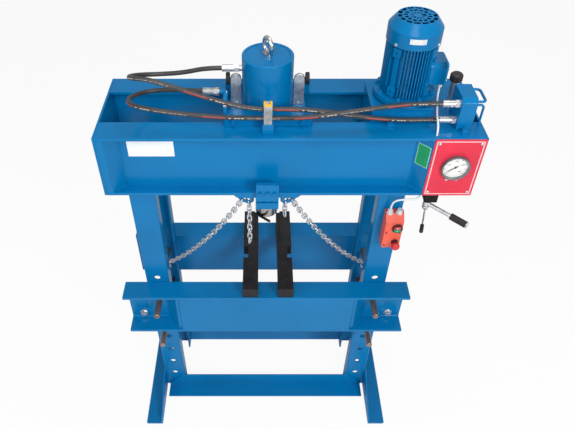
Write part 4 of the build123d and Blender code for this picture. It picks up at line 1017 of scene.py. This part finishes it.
pane_mix = tree.nodes.new("ShaderNodeMixShader")
facing = tree.nodes.new("ShaderNodeLayerWeight")
facing.inputs["Blend"].default_value = pane_edge_blend
tree.links.new(spread(tree, facing.outputs["Fresnel"], 0.03, 0.3), pane_mix.inputs["Fac"])
tree.links.new(clear.outputs["BSDF"], pane_mix.inputs[1])
tree.links.new(sheen.outputs["BSDF"], pane_mix.inputs[2])
tree.links.new(pane_mix.outputs["Shader"], tree.nodes["Material Output"].inputs["Surface"])
dress(gauge_pane, "gauge_glass")


# Switch box: a two-part moulded box in orange-red plastic, screwed to the right front upright, with grey
# cable glands on top, a start and stop pair in a black bezel and a red mushroom head below.
box_orange = (236, 98, 78)
switch_plastic = finish("switch_plastic", box_orange, 0.45, gloss=0.35, drift=0.04, patch=0.06)
dress(switch_plastic, "switch_box")
gland_grey = finish("gland_grey", (206, 208, 212), 0.45, gloss=0.35, drift=0.06, patch=0.01)
dress(gland_grey, "cable_glands", edge=0.0006)
bezel_black = finish("bezel_black", (40, 32, 32), 0.42, gloss=0.4, drift=0.1, patch=0.01)
dress(bezel_black, "button_bezels")
stop_plastic = finish("stop_plastic", (206, 38, 42), 0.35, gloss=0.5, drift=0.05, patch=0.01)
start_plastic = finish("start_plastic", (0, 148, 104), 0.35, gloss=0.5, drift=0.05, patch=0.01)
dress(stop_plastic, "stop_button", "emergency_button", edge=0.0008)
dress(start_plastic, "start_button", edge=0.0008)
switch_low, switch_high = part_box("switch_box")
seam_level = (switch_low.z + switch_high.z) / 2
switch_screw_side = 0.009
switch_screw_foot = 0.012
switch_screw = [(0, 0), (0.0036, 0), (0.0036, 0.0010), (0.0028, 0.0016), (0, 0.0016)]
shape = bmesh.new()
for x in (switch_low.x + switch_screw_side, switch_high.x - switch_screw_side):
    for z in (switch_low.z + switch_screw_foot, seam_level):
        turned(shape, (x, switch_low.y, z), (0, -1, 0), switch_screw, sides=16)
switch_screws = new_piece("switch_screws", shape, bezel_black)
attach(switch_screws, "frame")

# Button marks: a plain bar on the start button and a plain ring on the stop button, both of white plastic
# moulded into the caps.
mark_white = finish("mark_white", (236, 236, 232), 0.45, gloss=0.35, drift=0.03, patch=0.01)
mark_lift = 0.0003
bar_size = Vector((0.0014, mark_lift, 0.0062))
ring_inner = 0.0021
ring_outer = 0.0033
start_low, start_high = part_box("start_button")
stop_low, stop_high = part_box("stop_button")
shape = bmesh.new()
bar_middle = Vector(((start_low.x + start_high.x) / 2, start_low.y - mark_lift / 2,
                     (start_low.z + start_high.z) / 2))
bmesh.ops.create_cube(shape, size=1.0, matrix=Matrix.LocRotScale(bar_middle, None, bar_size))
start_mark = new_piece("start_mark", shape, mark_white)
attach(start_mark, "start_button")
shape = bmesh.new()
ring_place = Vector(((stop_low.x + stop_high.x) / 2, stop_low.y, (stop_low.z + stop_high.z) / 2))
mark_line = [(ring_inner, 0), (ring_inner, mark_lift), (ring_outer, mark_lift), (ring_outer, 0)]
turned(shape, ring_place, (0, -1, 0), mark_line, sides=28)
stop_mark = new_piece("stop_mark", shape, mark_white)
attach(stop_mark, "stop_button")


# Motor cable: a round white PVC cable from the terminal box's gland, over the tank's edge and down through
# the girder's hole to the switch box.
cable_across = 0.007
cable_route = [
    (0.574, -0.030, 1.716), (0.574, -0.030, 1.676), (0.570, -0.072, 1.653), (0.557, -0.118, 1.661),
    (0.556, -0.153, 1.652), (0.556, -0.170, 1.622), (0.556, -0.170, 1.560), (0.559, -0.172, 1.480),
    (0.556, -0.170, 1.400), (0.556, -0.170, 1.350), (0.534, -0.169, 1.330), (0.500, -0.165, 1.328),
    (0.472, -0.162, 1.321), (0.4576, -0.161, 1.301), (0.4576, -0.161, 1.275)]
cable_white = finish("cable_white", (228, 230, 232), 0.45, gloss=0.4, drift=0.05, patch=0.03)
placed = [(x + middle_x, y, z) for x, y, z in cable_route]
line = laid_line("motor_cable_line", placed, 10)
shape = bmesh.new()
tube(shape, line, [cable_across / 2] * len(line), 16, Vector((1, 0, 0.2)))
white_cable = new_piece("white_motor_cable", shape, cable_white, sharp=70)
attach(white_cable, "frame")
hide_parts("motor_cable")


# Plain fields: a white strip stuck to the beam's web and a green plate with a pale edge on the right slant
# wall, both plain and glued on.
strip_white = finish("strip_white", (238, 242, 244), 0.45, gloss=0.3, drift=0.02, patch=0.05)
plate_green = finish("plate_green", (22, 150, 92), 0.45, gloss=0.3, drift=0.05, patch=0.02)
plate_pale = finish("plate_pale", (150, 214, 190), 0.45, gloss=0.3, drift=0.03, patch=0.02)
field_thick = 0.0006


def field(shape, corner, right, up, outward, material=0):
    """A thin sheet from its lower left corner, lying on a wall."""
    lift = outward.normalized() * field_thick
    back = [shape.verts.new(p) for p in (corner, corner + right, corner + right + up, corner + up)]
    front = [shape.verts.new(vertex.co + lift) for vertex in back]
    sides = [(back[k], back[(k + 1) % 4], front[(k + 1) % 4], front[k]) for k in range(4)]
    for corners in [front, back[::-1]] + sides:
        shape.faces.new(corners).material_index = material


strip_wide = Vector((0.158, 0, 0))
strip_tall = Vector((0, 0, 0.063))
strip_corner = Vector((middle_x - 0.477, web_face, 1.511))
shape = bmesh.new()
field(shape, strip_corner, strip_wide, strip_tall, Vector((0, -1, 0)))
white_strip = new_piece("white_strip", shape, strip_white)
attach(white_strip, "frame")

wall_outer = Vector((ends_high.x - panel_width, beam_low.y, 0))
wall_inner = wall_outer + Vector((-slant_run, slant_run, 0))
wall_along = wall_outer - wall_inner
wall_out = Vector((-1, -1, 0)).normalized()
plate_foot = 1.487
plate_head = 1.574
plate_margin_share = 0.10
pale_line = 0.003
shape = bmesh.new()
corner = wall_inner + wall_along * plate_margin_share + Vector((0, 0, plate_foot))
across = wall_along * (1 - 2 * plate_margin_share)
field(shape, corner, across, Vector((0, 0, plate_head - plate_foot)), wall_out, material=1)
inner_corner = corner + across.normalized() * pale_line + Vector((0, 0, pale_line)) + wall_out * field_thick
field(shape, inner_corner, across - across.normalized() * 2 * pale_line,
      Vector((0, 0, plate_head - plate_foot - 2 * pale_line)), wall_out)
green_plate = new_piece("green_plate", shape, plate_green, plate_pale)
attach(green_plate, "frame")


# Floor and light: a plain pale paper floor in an even surround, lit by soft square lamps at the right
# front, the left, the front and above, and seen by the camera from the front and above.
floor_size = 14.0
floor_white = (250, 250, 250)
floor_seen_share = 0.92
shape = bmesh.new()
bmesh.ops.create_grid(shape, x_segments=1, y_segments=1, size=floor_size / 2)
floor_paper = bpy.data.materials.new("floor_paper")
floor_paper.use_nodes = True
tree = floor_paper.node_tree
paper = tree.nodes["Principled BSDF"]
paper.inputs["Base Color"].default_value = linear(floor_white)
paper.inputs["Roughness"].default_value = 0.9
paper.inputs["Specular IOR Level"].default_value = 0.1
glow = tree.nodes.new("ShaderNodeEmission")
blend = tree.nodes.new("ShaderNodeMixShader")
rays = tree.nodes.new("ShaderNodeLightPath")
seen = number(tree, "MULTIPLY", rays.outputs["Is Camera Ray"], floor_seen_share)
tree.links.new(seen, blend.inputs["Fac"])
tree.links.new(paper.outputs["BSDF"], blend.inputs[1])
tree.links.new(glow.outputs["Emission"], blend.inputs[2])
tree.links.new(blend.outputs["Shader"], tree.nodes["Material Output"].inputs["Surface"])
floor = new_piece("studio_floor", shape, floor_paper)

surround = bpy.data.worlds.new("surround")
bpy.context.scene.world = surround
surround.use_nodes = True
surround_level = 0.22
surround_seen = 0.5
tree = surround.node_tree
backdrop = tree.nodes["Background"]
backdrop.inputs["Color"].default_value = (1.0, 1.0, 1.0, 1.0)
rays = tree.nodes.new("ShaderNodeLightPath")
mirrored = number(tree, "MAXIMUM", rays.outputs["Is Camera Ray"], rays.outputs["Is Glossy Ray"])
tree.links.new(spread(tree, mirrored, surround_level, surround_seen), backdrop.inputs["Strength"])


def soft_lamp(name, place, aim, size, watts):
    """A square soft lamp that faces the aim."""
    lamp = bpy.data.lights.new(name, "AREA")
    lamp.size = size
    lamp.energy = watts
    stand = bpy.data.objects.new(name, lamp)
    stand.location = place
    stand.rotation_euler = (Vector(aim) - Vector(place)).to_track_quat("-Z", "Y").to_euler()
    bpy.context.scene.collection.objects.link(stand)


aim = (0.0, 0.0, 1.1)
soft_lamp("key_lamp", (2.3, -4.0, 3.7), aim, 1.4, 125)
soft_lamp("left_lamp", (-3.4, -2.2, 3.0), aim, 1.6, 36)
soft_lamp("front_lamp", (-0.5, -3.4, 4.6), aim, 2.0, 85)
soft_lamp("top_lamp", (0.4, 0.6, 5.2), aim, 2.5, 55)

camera_place = (-0.0853, -1.7177, 2.7283)
camera_pitch = 46.4
camera_data = bpy.data.cameras.new("photo_camera")
camera_data.lens = 36.0
camera_data.sensor_width = 36.0
camera_data.shift_x = 0.047
camera = bpy.data.objects.new("photo_camera", camera_data)
camera.location = camera_place
camera.rotation_euler = (math.radians(camera_pitch), 0, 0)
bpy.context.scene.collection.objects.link(camera)
bpy.context.scene.camera = camera
bpy.context.scene.view_settings.view_transform = "Standard"
